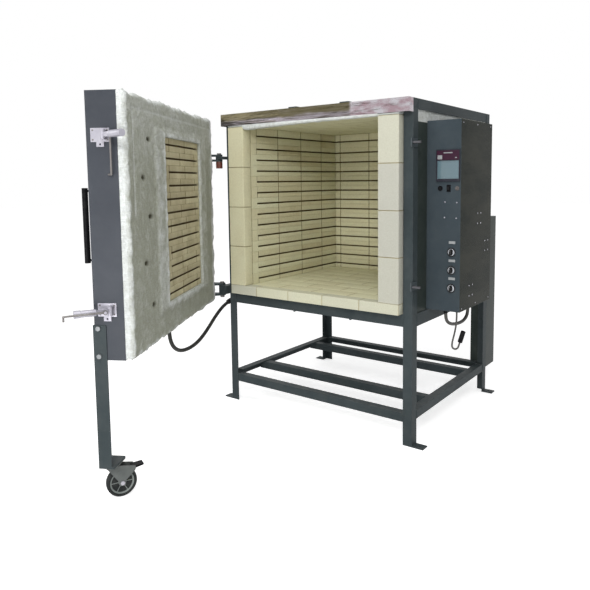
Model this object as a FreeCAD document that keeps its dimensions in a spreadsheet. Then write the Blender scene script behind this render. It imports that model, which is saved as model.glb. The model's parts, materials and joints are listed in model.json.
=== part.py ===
import FreeCAD, Part

import math
import os

import Sketcher
from FreeCAD import Placement, Rotation, Vector

# A front-loading electric kiln: a welded angle-iron stand that holds a chamber of insulating
# firebrick, a hinged door with a fibre lining that runs on a caster, and a control box on the right.
# Lengths are millimetres. The kiln frame has X = 0 on the kiln's centre line, Y = 0 on the front
# face of the brick and Z = 0 on the floor. The door frame has its origin on the hinge axis, its x
# axis towards the free edge and its y axis towards the chamber when the door is shut.

DIMENSIONS = [
    ("chamber_width", 880, "clear width between the side walls"),
    ("chamber_height", 914.4, "clear height, four bricks on end"),
    ("chamber_depth", 944, "front face of the brick to the back wall"),
    ("brick_width", 114.3, "brick width, which is the wall's thickness"),
    ("brick_thickness", 63.5, "brick thickness, which is one course"),
    ("column_bricks", 4, "bricks on end in each front column"),
    ("brick_joint", 0.4, "joint between two bricks"),
    ("sill_height", 53, "thickness of the floor"),
    ("chamber_base", 666, "height of the underside of the floor"),
    ("course_count", 14, "grooved courses in each wall"),
    ("groove_rise", 29.5, "bottom of a course to the middle of its groove"),
    ("groove_height", 13, "height of an element groove"),
    ("groove_depth", 26, "depth of an element groove"),
    ("groove_start", 117, "front end of the side grooves"),
    ("top_groove_lift", 12.7, "extra rise of the groove in the tall top course"),
    ("element_size", 10, "thickness of a heating element"),
    ("element_inset", 6, "face of the wall to the element"),
    ("lintel_sag", 24, "sag of the fibre strip over the opening"),
    ("lintel_depth", 44, "thickness of the fibre strip over the opening"),
    ("roof_cover", 13.8, "top of the roof bricks to the top of the frame"),
    ("blanket_thickness", 8, "fibre blanket on the roof bricks"),
    ("frame_gap", 2, "gap between the brick and the uprights"),
    ("angle_leg", 50.8, "leg of the uprights and rails"),
    ("angle_wall", 4.8, "thickness of all the angle iron"),
    ("rail_leg", 63.5, "tall leg of the rails under the chamber"),
    ("cross_leg", 66, "tall leg of the cross angles under the floor"),
    ("frame_setback", 44.5, "front face of the brick to the front of the frame"),
    ("shelf_leg", 44.5, "leg of the shelf angles"),
    ("shelf_height", 164, "top of the front shelf rail"),
    ("shelf_step", 12, "rise from the front shelf rail to the others"),
    ("shelf_bar_front", 305, "front shelf cross bar from the brick's front face"),
    ("shelf_bar_inset", 210, "rear shelf cross bar from the rear of the frame"),
    ("cross_left", -129, "left cross angle from the centre line"),
    ("cross_right", 240, "right cross angle from the centre line"),
    ("strap_left", -80, "left roof strap from the centre line"),
    ("strap_right", 246, "right roof strap from the centre line"),
    ("strap_thickness", 6.3, "thickness of a roof strap"),
    ("tab_reach", 60, "floor tab beyond the upright"),
    ("tab_thickness", 6, "thickness of a floor tab"),
    ("tab_hole", 13, "diameter of the hole in a floor tab"),
    ("trim_height", 67, "height of the bright trim over the opening"),
    ("trim_sheet", 1.2, "sheet of the bright trim"),
    ("panel_sheet", 1.2, "sheet of the case panels"),
    ("panel_gap", 57, "top edge of a side panel to the top rail"),
    ("seat_gap", 0.3, "clearance between pieces that seat on each other"),
    ("sheath_radius", 6, "radius of the thermocouple's sheath"),
    ("sheath_reach", 60, "thermocouple's tip in front of the back wall"),
    ("sheath_rise", 12, "bottom of a course to the middle of the thermocouple"),
    ("head_radius", 26, "radius of the thermocouple's head"),
    ("head_length", 45, "length of the thermocouple's head"),
    ("wireway_width", 100, "width of the rear wireway"),
    ("wireway_depth", 142, "depth of the rear wireway"),
    ("wireway_bottom", 147, "lower end of the rear wireway"),
    ("wireway_rise", 424, "upper end of the rear wireway above the underside of the floor"),
    ("box_sheet", 1.5, "sheet of the control box"),
    ("box_reach", 173, "control box beyond the frame"),
    ("box_front", 207, "front of the control box"),
    ("box_depth", 418, "depth of the control box"),
    ("box_rise", 5, "bottom of the control box above the rails"),
    ("box_height", 941, "height of the control box"),
    ("bezel_width", 122, "width of the controller's frame"),
    ("bezel_height", 155, "height of the controller's frame"),
    ("bezel_depth", 8, "thickness of the controller's frame"),
    ("bezel_out", 108, "middle of the controller from the side of the frame"),
    ("bezel_rise", 642, "lower edge of the controller's frame above the box's bottom"),
    ("screen_width", 112, "width of the screen"),
    ("screen_height", 89, "height of the screen"),
    ("screen_rise", 13, "lower edge of the frame to the screen"),
    ("screen_depth", 4, "thickness of the screen"),
    ("switch_rise", 609, "row of switches above the box's bottom"),
    ("button_out", 67, "push button from the side of the frame"),
    ("button_diameter", 16, "push button"),
    ("button_reach", 9, "push button in front of its collar"),
    ("button_travel", 3, "travel of the push button"),
    ("collar_width", 4, "width of a collar round a button or lamp"),
    ("collar_reach", 3, "collar in front of the panel"),
    ("rocker_out", 111, "power switch from the side of the frame"),
    ("rocker_width", 14, "width of the power switch's rocker"),
    ("rocker_radius", 14, "half height of the rocker, its turning circle"),
    ("rocker_tilt", 12, "degrees that the rocker stands tilted when switched off"),
    ("rocker_rim", 3, "rim of the power switch round its rocker"),
    ("lamp_out", 155, "pilot lamp from the side of the frame"),
    ("lamp_diameter", 13, "pilot lamp"),
    ("knob_out", 128, "selector knobs from the side of the frame"),
    ("knob_rise", 117, "lowest knob above the box's bottom"),
    ("knob_pitch", 89.5, "pitch of the three knobs"),
    ("skirt_diameter", 43, "skirt of a knob"),
    ("skirt_thickness", 3, "thickness of a knob's skirt"),
    ("grip_diameter", 24, "grip of a knob"),
    ("grip_length", 17, "length of a knob's grip"),
    ("shaft_diameter", 6, "shaft of a knob"),
    ("bore_clearance", 0.3, "radial clearance of a shaft in its bore"),
    ("gland_diameter", 24, "cable gland"),
    ("gland_length", 22, "cable gland below the box"),
    ("gland_nose", 8, "length of a gland's tapered nose"),
    ("loop_out", 77.9, "front gland of the cable loop from the side of the frame"),
    ("loop_front", 55, "front gland of the cable loop behind the front of the box"),
    ("loop_shift", 40, "rear gland of the cable loop further out than the front one"),
    ("loop_span", 193, "front gland to rear gland of the cable loop"),
    ("loop_drop", 73, "hang of the cable loop below its glands"),
    ("tail_out", 120.9, "gland of the loose cable from the side of the frame"),
    ("tail_front", 93, "gland of the loose cable behind the front of the box"),
    ("tail_drop", 195, "hang of the loose cable below its gland"),
    ("relay_width", 64, "width of a power relay"),
    ("relay_height", 76, "height of a power relay"),
    ("relay_depth", 70, "depth of a power relay"),
    ("switch_body", 44, "width and height of a rotary switch"),
    ("switch_depth", 40, "depth of a rotary switch"),
    ("loop_diameter", 17, "cable that loops under the box"),
    ("tail_diameter", 9, "loose cable under the box"),
    ("connector_diameter", 24, "connector on the loose cable"),
    ("connector_length", 60, "length of the connector"),
    ("door_overlap", 5.4, "edge of the door beyond the side of the frame when shut"),
    ("door_drop", 53, "lower edge of the door below the brick"),
    ("door_height", 1071, "height of the door"),
    ("door_angle", 60.3, "degrees that the door stands open as modelled"),
    ("fibre_proud", 38.4, "fibre lining in front of the door pan"),
    ("pan_depth", 126.5, "depth of the door pan"),
    ("pan_sheet", 2, "sheet of the door pan"),
    ("seal_gap", 2, "lining to the front of the brick when shut"),
    ("hinge_standoff", 46.8, "hinge axis from the side of the frame"),
    ("hinge_setback", 25.7, "hinge axis behind the front of the brick"),
    ("upper_hinge_rise", 850.5, "middle of the upper hinge above the door's lower edge"),
    ("upper_arm", 16, "height of the upper hinge's frame arm"),
    ("lower_hinge_rise", 64, "middle of the lower hinge above the door's lower edge"),
    ("lower_arm", 50, "height of the lower hinge's frame arm"),
    ("lug_thickness", 12, "thickness of a hinge lug on the door"),
    ("hinge_boss", 20, "radius of the hinge arms round the pin"),
    ("hinge_pin", 16, "diameter of the hinge pins"),
    ("pin_head", 8, "thickness of a hinge pin's head"),
    ("pin_end", 12, "end of the lower hinge pin below its lugs"),
    ("lug_edge", 14, "strip of a hinge lug beside the door"),
    ("lug_setback", 12, "hinge lug from the back of the door"),
    ("lug_neck", 30, "neck of a hinge lug behind the face of the lining"),
    ("hinge_nut", 38, "diameter of the nut under the upper hinge"),
    ("nut_height", 40, "height of the nut under the upper hinge"),
    ("panel_inset", 278.6, "door bricks from the hinge edge of the door"),
    ("panel_width", 531, "width of the door bricks"),
    ("panel_rise", 155, "lower edge of the door bricks above the door's lower edge"),
    ("panel_height", 762, "height of the door bricks, twelve courses"),
    ("panel_courses", 12, "courses in the door bricks"),
    ("panel_recess", 5, "door bricks behind the face of the lining"),
    ("panel_groove_inset", 12, "end of a door groove from the edge of the bricks"),
    ("handle_inset", 85, "pull handle from the free edge of the door"),
    ("handle_rise", 383, "lower end of the pull handle above the door's lower edge"),
    ("handle_length", 309, "length of the pull handle"),
    ("handle_diameter", 24, "bar of the pull handle"),
    ("handle_standoff", 58, "middle of the bar from the door"),
    ("handle_post", 10, "posts of the pull handle"),
    ("latch_plate_width", 77, "width of a latch plate"),
    ("latch_plate_height", 54, "height of a latch plate"),
    ("latch_plate_sheet", 4, "thickness of a latch plate"),
    ("latch_setback", 68, "latch plate from the face of the lining"),
    ("latch_tab_width", 31, "width of the tab under a latch plate"),
    ("latch_tab_height", 19, "height of the tab under a latch plate"),
    ("upper_latch_rise", 898, "middle of the upper latch plate above the door's lower edge"),
    ("lower_latch_rise", 207, "middle of the lower latch plate above the door's lower edge"),
    ("pivot_setback", 86, "latch pivot from the face of the lining"),
    ("pivot_standoff", 24, "latch pivot from the side of the door"),
    ("pivot_pin", 8, "diameter of a latch pivot pin"),
    ("barrel_radius", 9, "radius of a latch lever's barrel"),
    ("barrel_height", 30, "height of a latch lever's barrel"),
    ("ear_thickness", 4, "thickness of a latch ear"),
    ("lever_length", 135, "pivot to the end of a latch lever"),
    ("lever_neck", 52, "pivot to the start of a lever's grip"),
    ("lever_bar", 6, "thickness of a lever's neck"),
    ("lever_grip", 14, "radius of a lever's grip"),
    ("cap_radius", 15.5, "radius of the end cap of the lower lever"),
    ("cap_length", 24, "length of the end cap of the lower lever"),
    ("stud_offset", 20, "pivot to the stud that carries the hook rod"),
    ("rod_offset", 19.5, "middle of a lever to its hook rod"),
    ("rod_diameter", 8, "diameter of a hook rod"),
    ("rod_length", 158, "length of a hook rod"),
    ("rod_hook", 20, "length of a rod's hook"),
    ("eye_radius", 9, "radius of a hook rod's eye"),
    ("upper_lever_angle", 56, "degrees from the door's width to the upper lever"),
    ("lower_lever_angle", -56, "degrees from the door's width to the lower lever"),
    ("keeper_reach", 42, "keeper peg beyond its plate"),
    ("keeper_diameter", 14, "keeper peg"),
    ("keeper_setback", 31, "keeper peg behind the front of the brick"),
    ("keeper_plate", 40, "height of a keeper's plate"),
    ("keeper_front", 12, "keeper's plate in front of the peg's middle"),
    ("keeper_rear", 49.5, "keeper's plate behind the peg's middle"),
    ("keeper_drop", 11, "keeper peg below the middle of its latch"),
    ("leg_bottom", 165, "lower end of the door leg"),
    ("leg_overlap", 144, "door leg above the door's lower edge"),
    ("leg_width", 55, "leg of the door leg's angle"),
    ("leg_bolt_rise", 17, "lower leg bolt above the door's lower edge"),
    ("leg_bolt_pitch", 114, "pitch of the leg bolts"),
    ("leg_bolt_size", 12, "diameter of a leg bolt"),
    ("foot_thickness", 7, "foot plate under the door leg"),
    ("swivel_inset", 62.4, "caster swivel from the free edge of the door"),
    ("swivel_setback", 146, "caster swivel from the face of the lining"),
    ("caster_angle", 127, "degrees from the door's width to the caster's trail"),
    ("caster_trail", 36.6, "swivel axis to the wheel's axle"),
    ("wheel_diameter", 127, "caster wheel"),
    ("wheel_width", 32, "width of the caster wheel"),
    ("hub_diameter", 84, "hub inside the tyre"),
    ("axle_diameter", 12, "axle of the caster wheel"),
    ("fork_sheet", 4, "thickness of the caster's fork"),
    ("fork_gap", 3, "wheel to the fork"),
    ("fork_top", 140, "top of the caster's fork"),
    ("fork_front", 26, "swivel axis to the front of the fork"),
    ("fork_rear", 32, "swivel axis to the rear of the fork's top"),
    ("fork_ear", 12, "fork's ear round the axle"),
    ("pedal_ear", 8, "fork's ear round the pedal's pivot"),
    ("pedal_pin", 6, "diameter of the pedal's pivot"),
    ("swivel_diameter", 54, "caster's swivel bearing"),
    ("top_plate_width", 84, "caster's top plate"),
    ("top_plate_sheet", 5, "thickness of the caster's top plate"),
    ("pedal_reach", 48, "axle to the pivot of the brake pedal"),
    ("pedal_height", 118, "height of the brake pedal's pivot"),
    ("pedal_length", 44, "length of the brake pedal"),
    ("conduit_across", 662.4, "conduit's fitting under the door from the hinge axis"),
    ("conduit_setback", 73.9, "conduit's fitting under the door from the face of the lining"),
    ("conduit_hang", 23, "length of the conduit's fitting under the door"),
    ("conduit_sag", 149, "lowest place of the conduit below the door's fitting"),
    ("conduit_out", 19.9, "end of the conduit from the side of the frame"),
    ("conduit_in", 2.5, "end of the conduit behind the front of the frame"),
    ("conduit_low", 5.5, "end of the conduit below the rails"),
    ("conduit_diameter", 20, "flexible conduit to the door"),
    ("fitting_diameter", 30, "fitting at each end of the conduit"),
    ("fitting_length", 30, "length of a conduit fitting"),
    ("kiln_x", 10.3, "centre line from the model's origin"),
    ("kiln_y", 58.4, "front of the brick from the model's origin"),
]

DERIVED = [
    ("chamber_half", "chamber_width / 2", "centre line to a side wall"),
    ("outer_half", "chamber_half + brick_width", "centre line to the outside of the brick"),
    ("frame_half", "outer_half + frame_gap + angle_leg", "centre line to the outside of the frame"),
    ("floor_level", "chamber_base + sill_height", "top of the floor"),
    ("ceiling_level", "floor_level + chamber_height", "underside of the roof"),
    ("roof_level", "ceiling_level + brick_thickness", "top of the roof bricks"),
    ("frame_top", "roof_level + roof_cover", "top of the frame"),
    ("wall_rear", "chamber_depth + brick_width", "outside of the back wall"),
    ("frame_rear", "wall_rear + frame_gap", "rear face of the frame"),
    ("rail_bottom", "chamber_base - rail_leg", "lower edge of the rails under the chamber"),
    ("shelf_bar_rear", "frame_rear - shelf_bar_inset", "rear shelf cross bar"),
    ("wireway_top", "chamber_base + wireway_rise", "upper end of the rear wireway"),
    ("box_right", "frame_half + box_reach", "right side of the control box"),
    ("box_rear", "box_front + box_depth", "rear of the control box"),
    ("box_bottom", "chamber_base + box_rise", "bottom of the control box"),
    ("box_top", "box_bottom + box_height", "top of the control box"),
    ("bezel_across", "frame_half + bezel_out", "middle of the controller"),
    ("bezel_bottom", "box_bottom + bezel_rise", "lower edge of the controller's frame"),
    ("switch_row", "box_bottom + switch_rise", "height of the row of switches"),
    ("button_across", "frame_half + button_out", "push button"),
    ("rocker_across", "frame_half + rocker_out", "power switch"),
    ("lamp_across", "frame_half + lamp_out", "pilot lamp"),
    ("knob_across", "frame_half + knob_out", "selector knobs"),
    ("knob_bottom", "box_bottom + knob_rise", "lowest knob"),
    ("hinge_across", "frame_half + hinge_standoff", "hinge axis from the centre line"),
    ("door_left", "hinge_standoff - door_overlap", "hinge edge of the door from its axis"),
    ("door_right", "hinge_across + frame_half + door_overlap", "free edge of the door from its axis"),
    ("door_bottom", "chamber_base - door_drop", "lower edge of the door"),
    ("door_top", "door_bottom + door_height", "upper edge of the door"),
    ("door_depth", "fibre_proud + pan_depth", "thickness of the door"),
    ("face_back", "hinge_setback + seal_gap", "hinge axis behind the face of the lining"),
    ("upper_hinge", "door_bottom + upper_hinge_rise", "height of the upper hinge's middle"),
    ("lower_hinge", "door_bottom + lower_hinge_rise", "height of the lower hinge's middle"),
    ("panel_left", "door_left + panel_inset", "door bricks from the hinge axis"),
    ("panel_bottom", "door_bottom + panel_rise", "lower edge of the door bricks"),
    ("handle_across", "door_right - handle_inset", "pull handle from the hinge axis"),
    ("handle_bottom", "door_bottom + handle_rise", "lower end of the pull handle"),
    ("handle_top", "handle_bottom + handle_length", "upper end of the pull handle"),
    ("upper_latch", "door_bottom + upper_latch_rise", "middle of the upper latch plate"),
    ("lower_latch", "door_bottom + lower_latch_rise", "middle of the lower latch plate"),
    ("upper_keeper", "upper_latch - keeper_drop", "height of the upper keeper"),
    ("lower_keeper", "lower_latch - keeper_drop", "height of the lower keeper"),
    ("leg_top", "door_bottom + leg_overlap", "upper end of the door leg"),
    ("leg_bolt_low", "door_bottom + leg_bolt_rise", "height of the lower leg bolt"),
    ("leg_bolt_high", "leg_bolt_low + leg_bolt_pitch", "height of the upper leg bolt"),
    ("swivel_across", "door_right - swivel_inset", "caster swivel from the hinge axis"),
]

doc = FreeCAD.newDocument("FrontLoadingKiln")
sheet = doc.addObject("Spreadsheet::Sheet", "Sizes")


def fill_sheet():
    """Write the driving dimensions and the sizes worked out from them, each under its alias."""
    rows = [(alias, str(value), note) for alias, value, note in DIMENSIONS]
    rows += [(alias, "=" + formula, note) for alias, formula, note in DERIVED]
    for number, (alias, content, note) in enumerate(rows, start=1):
        sheet.set(f"A{number}", alias)
        sheet.set(f"B{number}", content)
        sheet.set(f"C{number}", note)
        sheet.setAlias(f"B{number}", alias)
    doc.recompute()
    return [row[0] for row in rows]


class Size:
    """A length that knows both its value and the sheet formula that gives it."""

    def __init__(self, value, formula=None):
        self.value = float(value)
        self.formula = formula or repr(float(value))

    def joined(self, sign, other, turned=False):
        other = other if isinstance(other, Size) else Size(other)
        first, second = (other, self) if turned else (self, other)
        value = {"+": lambda a, b: a + b, "-": lambda a, b: a - b,
                 "*": lambda a, b: a * b, "/": lambda a, b: a / b}[sign](first.value, second.value)
        return Size(value, f"({first.formula} {sign} {second.formula})")

    def __add__(self, other):
        return self.joined("+", other)

    def __radd__(self, other):
        return self.joined("+", other, True)

    def __sub__(self, other):
        return self.joined("-", other)

    def __rsub__(self, other):
        return self.joined("-", other, True)

    def __mul__(self, other):
        return self.joined("*", other)

    def __rmul__(self, other):
        return self.joined("*", other, True)

    def __truediv__(self, other):
        return self.joined("/", other)

    def __neg__(self):
        return self.joined("*", -1)


class Named:
    """The sheet's sizes as attributes, such as s.chamber_width."""


s = Named()
for alias in fill_sheet():
    setattr(s, alias, Size(getattr(sheet, alias), "Sizes." + alias))


def size(value):
    return value if isinstance(value, Size) else Size(value)


def bind(item, name, value):
    """Give a property its value and the formula that keeps it up to date."""
    item.setExpression(name, size(value).formula)


def move(item, x, y, z):
    for axis, value in zip("xyz", (x, y, z)):
        bind(item, "Placement.Base." + axis, value)
    return item


def block(x, y, z):
    """A box between two places on each axis."""
    box = doc.addObject("Part::Box", "Block")
    for name, (low, high) in zip(("Length", "Width", "Height"), (x, y, z)):
        bind(box, name, size(high) - low)
    return move(box, x[0], y[0], z[0])


TURNS = {
    "x": Rotation(Vector(0, 1, 0), 90),
    "y": Rotation(Vector(1, 0, 0), -90),
    "z": Rotation(),
}


def cylinder(radius, length, at, axis="z"):
    """A cylinder that runs from a place along +X, +Y or +Z."""
    item = doc.addObject("Part::Cylinder", "Cylinder")
    bind(item, "Radius", radius)
    bind(item, "Height", length)
    item.Placement = Placement(Vector(), TURNS[axis])
    return move(item, *at)


def cone(radius_one, radius_two, length, at, axis="z"):
    """A cone that runs from a place along +X, +Y or +Z."""
    item = doc.addObject("Part::Cone", "Cone")
    bind(item, "Radius1", radius_one)
    bind(item, "Radius2", radius_two)
    bind(item, "Height", length)
    item.Placement = Placement(Vector(), TURNS[axis])
    return move(item, *at)


def fuse(*items):
    joined = doc.addObject("Part::MultiFuse", "Fusion")
    joined.Shapes = list(items)
    joined.Refine = True
    return joined


def cut(base, *tools):
    result = doc.addObject("Part::Cut", "Cut")
    result.Base = base
    result.Tool = tools[0] if len(tools) == 1 else fuse(*tools)
    return result


def common(base, tool):
    result = doc.addObject("Part::Common", "Common")
    result.Base = base
    result.Tool = tool
    return result


def profile(across, outline, start, length):
    """A body padded from a closed outline of straight edges.

    across is the axis that the pad runs along; the outline's points hold the other two
    coordinates, in the order X, Y, Z.
    """
    plane = {"z": "XY_Plane", "y": "XZ_Plane", "x": "YZ_Plane"}[across]
    body = doc.addObject("PartDesign::Body", "Profile")
    sketch = body.newObject("Sketcher::SketchObject", "Outline")
    support = next(item for item in body.Origin.OriginFeatures if item.Role == plane)
    sketch.AttachmentSupport = [(support, "")]
    sketch.MapMode = "FlatFace"
    corners = [Vector(size(a).value, size(b).value, 0) for a, b in outline]
    count = len(corners)
    for number in range(count):
        edge = Part.LineSegment(corners[number], corners[(number + 1) % count])
        sketch.addGeometry(edge, False)
    for number in range(count):
        sketch.addConstraint(Sketcher.Constraint("Coincident", number, 2, (number + 1) % count, 1))
    for number, corner in enumerate(outline):
        for kind, place in zip(("DistanceX", "DistanceY"), corner):
            rule = Sketcher.Constraint(kind, -1, 1, number, 1, size(place).value)
            index = sketch.addConstraint(rule)
            if isinstance(place, Size) and "Sizes" in place.formula:
                sketch.setExpression(f"Constraints[{index}]", place.formula)
    pad = body.newObject("PartDesign::Pad", "Pad")
    pad.Profile = sketch
    bind(pad, "Length", length)
    if across == "y":
        pad.Reversed = True
        bind(sketch, "AttachmentOffset.Base.z", -size(start))
    else:
        bind(sketch, "AttachmentOffset.Base.z", start)
    sketch.Visibility = False
    return body


def angle_bar(along, corner, legs, start, length):
    """Angle iron: its outer corner, and its two legs with their signs."""
    one, two = size(corner[0]), size(corner[1])
    wall_one = s.angle_wall * math.copysign(1, size(legs[0]).value)
    wall_two = s.angle_wall * math.copysign(1, size(legs[1]).value)
    outline = [(one, two), (one + legs[0], two), (one + legs[0], two + wall_two),
               (one + wall_one, two + wall_two), (one + wall_one, two + legs[1]),
               (one, two + legs[1])]
    return profile(along, outline, start, length)


NODES = []


def node(name, members, frame="kiln"):
    """Gather the solids of one sub-part and place them with the kiln or with the door."""
    group = doc.addObject("Part::Compound", name)
    group.Label = name
    group.Links = list(members) if isinstance(members, (list, tuple)) else [members]
    place_in_frame(group, frame)
    NODES.append(group)
    return group


def place_in_frame(item, frame):
    if frame == "door":
        move(item, s.kiln_x - s.hinge_across, s.kiln_y + s.hinge_setback, 0)
        bind(item, "Placement.Rotation.Angle", -s.door_angle)
    else:
        move(item, s.kiln_x, s.kiln_y, 0)


def local_group(members, x, y, z, angle=0):
    """Pieces drawn in a frame of their own, which is turned about Z and moved."""
    group = doc.addObject("Part::Compound", "Group")
    group.Links = list(members)
    move(group, x, y, z)
    bind(group, "Placement.Rotation.Angle", angle)
    return group


def behind(depth):
    """The door frame's y of a depth behind the face of the lining."""
    return -(s.face_back + depth)


# Stand and frame

def upright(side, end):
    """One upright; side is -1 on the left, end is -1 at the front."""
    corner_y = s.frame_setback if end < 0 else s.frame_rear
    return angle_bar("z", (s.frame_half * side, corner_y),
                     (s.angle_leg * -side, s.angle_leg * -end), 0, s.frame_top)


def cross_rail(end, top, tall, flat):
    """A rail along X, between the uprights of one end; its flat leg is on top."""
    corner_y = s.frame_setback if end < 0 else s.frame_rear
    inner = s.frame_half - s.angle_leg
    return angle_bar("x", (corner_y, top), (flat * -end, -size(tall)), -inner, inner * 2)


def side_rail(side, top, tall, flat):
    """A rail along Y, between the uprights of one side; its flat leg is on top."""
    start = s.frame_setback + s.angle_leg
    return angle_bar("y", (s.frame_half * side, top), (flat * -side, -size(tall)), start,
                     s.frame_rear - s.angle_leg - start)


def floor_tab(side, end):
    """A flat tab welded to the foot of an upright, with a hole for a floor bolt."""
    low = s.frame_setback if end < 0 else s.frame_rear - s.angle_leg
    reach = (s.frame_half + s.tab_reach) * side
    ends = (s.frame_half, reach) if side > 0 else (reach, -s.frame_half)
    plate = block(ends, (low, low + s.angle_leg), (0, s.tab_thickness))
    middle = ((s.frame_half + s.tab_reach / 2) * side, low + s.angle_leg / 2, -1)
    return cut(plate, cylinder(s.tab_hole / 2, s.tab_thickness + 2, middle))


def build_frame():
    node("uprights", [upright(side, end) for end in (-1, 1) for side in (-1, 1)])
    node("floor_tabs", [floor_tab(side, end) for end in (-1, 1) for side in (-1, 1)])
    step = s.shelf_height + s.shelf_step
    shelf_rails = [cross_rail(-1, s.shelf_height, s.shelf_leg, s.shelf_leg),
                   cross_rail(1, step, s.shelf_leg, s.shelf_leg)]
    shelf_rails += [side_rail(side, step, s.shelf_leg, s.shelf_leg) for side in (-1, 1)]
    node("shelf_rails", shelf_rails)
    inside = s.frame_half - s.angle_wall
    under = step - s.angle_wall
    node("shelf_cross_bars", [
        angle_bar("x", (place, under), (s.shelf_leg, -s.shelf_leg), -inside, inside * 2)
        for place in (s.shelf_bar_front, s.shelf_bar_rear)])
    node("chamber_rails",
         [cross_rail(end, s.chamber_base, s.rail_leg, s.angle_leg) for end in (-1, 1)]
         + [side_rail(side, s.chamber_base, s.rail_leg, s.angle_leg) for side in (-1, 1)])
    start = s.frame_setback + s.angle_wall
    node("floor_cross_angles", [
        angle_bar("y", (place, s.chamber_base - s.angle_wall), (s.angle_leg, -s.cross_leg), start,
                  s.frame_rear - s.angle_wall - start)
        for place in (s.cross_left, s.cross_right)])
    node("top_rails",
         [cross_rail(end, s.frame_top, s.angle_leg, s.angle_leg) for end in (-1, 1)]
         + [side_rail(side, s.frame_top, s.angle_leg, s.angle_leg) for side in (-1, 1)])
    node("roof_straps", [
        block((place - s.angle_leg / 2, place + s.angle_leg / 2), (s.frame_setback, s.frame_rear),
              (s.frame_top, s.frame_top + s.strap_thickness))
        for place in (s.strap_left, s.strap_right)])


# Chamber of insulating firebrick

def course_level(number):
    return s.floor_level + s.brick_thickness * number


def course_top(number):
    last = number == round(s.course_count.value) - 1
    top = s.ceiling_level if last else course_level(number + 1)
    return top - s.brick_joint


def groove_level(number):
    last = number == round(s.course_count.value) - 1
    lift = s.top_groove_lift if last else 0
    return course_level(number) + s.groove_rise + lift


def groove_span(number):
    middle = groove_level(number)
    return (middle - s.groove_height / 2, middle + s.groove_height / 2)


def courses():
    return range(round(s.course_count.value))


SHEATH_COURSE = 8


def sheath_level():
    """Height of the thermocouple, which goes through the back wall between two grooves."""
    return course_level(SHEATH_COURSE) + s.sheath_rise


def side_wall(side):
    """Grooved courses of one side wall; the grooves are closed at the front."""
    pieces = []
    for number in courses():
        levels = (course_level(number), course_top(number))
        near, far = s.chamber_half, s.outer_half
        slot = s.chamber_half + s.groove_depth
        ends = (near, far) if side > 0 else (-far, -near)
        opening = (near - 1, slot) if side > 0 else (-slot, -near + 1)
        brick = block(ends, (s.brick_thickness + s.brick_joint, s.wall_rear), levels)
        groove = block(opening, (s.groove_start, s.chamber_depth + s.groove_depth),
                       groove_span(number))
        pieces.append(cut(brick, groove))
    return pieces


def back_wall():
    """Grooved courses of the back wall, between the side walls; one is bored for the thermocouple."""
    pieces = []
    half = s.chamber_half - s.brick_joint
    bore = cylinder(s.sheath_radius + s.bore_clearance, s.brick_width + 2,
                    (0, s.chamber_depth - 1, sheath_level()), "y")
    for number in courses():
        levels = (course_level(number), course_top(number))
        brick = block((-half, half), (s.chamber_depth, s.wall_rear), levels)
        groove = block((-half - 1, half + 1), (s.chamber_depth - 1, s.chamber_depth + s.groove_depth),
                       groove_span(number))
        pieces.append(cut(brick, groove, bore) if number == SHEATH_COURSE else cut(brick, groove))
    return pieces


def front_column(side):
    """Bricks that stand on end beside the opening."""
    pieces = []
    count = round(s.column_bricks.value)
    length = s.chamber_height / s.column_bricks
    ends = (s.chamber_half, s.outer_half) if side > 0 else (-s.outer_half, -s.chamber_half)
    for number in range(count):
        bottom = s.floor_level + length * number
        pieces.append(block(ends, (0, s.brick_thickness), (bottom, bottom + length - s.brick_joint)))
    return pieces


def rows(start, end, low, high):
    """Slabs of bricks laid across the kiln, one behind the other."""
    pieces = []
    count = math.ceil((size(end).value - size(start).value) / s.brick_width.value - 0.05)
    for number in range(count):
        front = start + s.brick_width * number
        back = end if number == count - 1 else front + s.brick_width - s.brick_joint
        pieces.append(block((-s.outer_half, s.outer_half), (front, back), (low, high)))
    return pieces


def heating_row(number):
    """One heating element, bent round the left, back and right walls in its groove."""
    outer_x = s.chamber_half + s.element_inset + s.element_size
    inner_x = s.chamber_half + s.element_inset
    outer_y = s.chamber_depth + s.element_inset + s.element_size
    inner_y = s.chamber_depth + s.element_inset
    front = s.groove_start + s.element_inset
    outline = [(-outer_x, front), (-inner_x, front), (-inner_x, inner_y), (inner_x, inner_y),
               (inner_x, front), (outer_x, front), (outer_x, outer_y), (-outer_x, outer_y)]
    bottom = groove_span(number)[0] + s.seat_gap
    return profile("z", outline, bottom, s.element_size)


def lintel():
    """Fibre strip over the opening, which sags between the columns."""
    low = s.ceiling_level + s.brick_joint
    under_rail = s.frame_top - s.angle_leg - s.seat_gap
    step_back = s.frame_setback + s.angle_wall
    top = s.frame_top - s.trim_sheet - s.seat_gap
    outline = [(0, low), (step_back, low), (step_back, under_rail), (s.lintel_depth, under_rail),
               (s.lintel_depth, top), (0, top)]
    strip = profile("x", outline, -s.outer_half, s.outer_half * 2)
    chord = s.chamber_half - s.seat_gap
    radius = (chord * chord + s.lintel_sag * s.lintel_sag) / (s.lintel_sag * 2)
    round_bar = cylinder(radius, step_back, (0, 0, low - s.lintel_sag + radius), "y")
    under = block((-chord, chord), (0, step_back), (low - s.lintel_sag - 1, low))
    return fuse(strip, common(under, round_bar))


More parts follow.
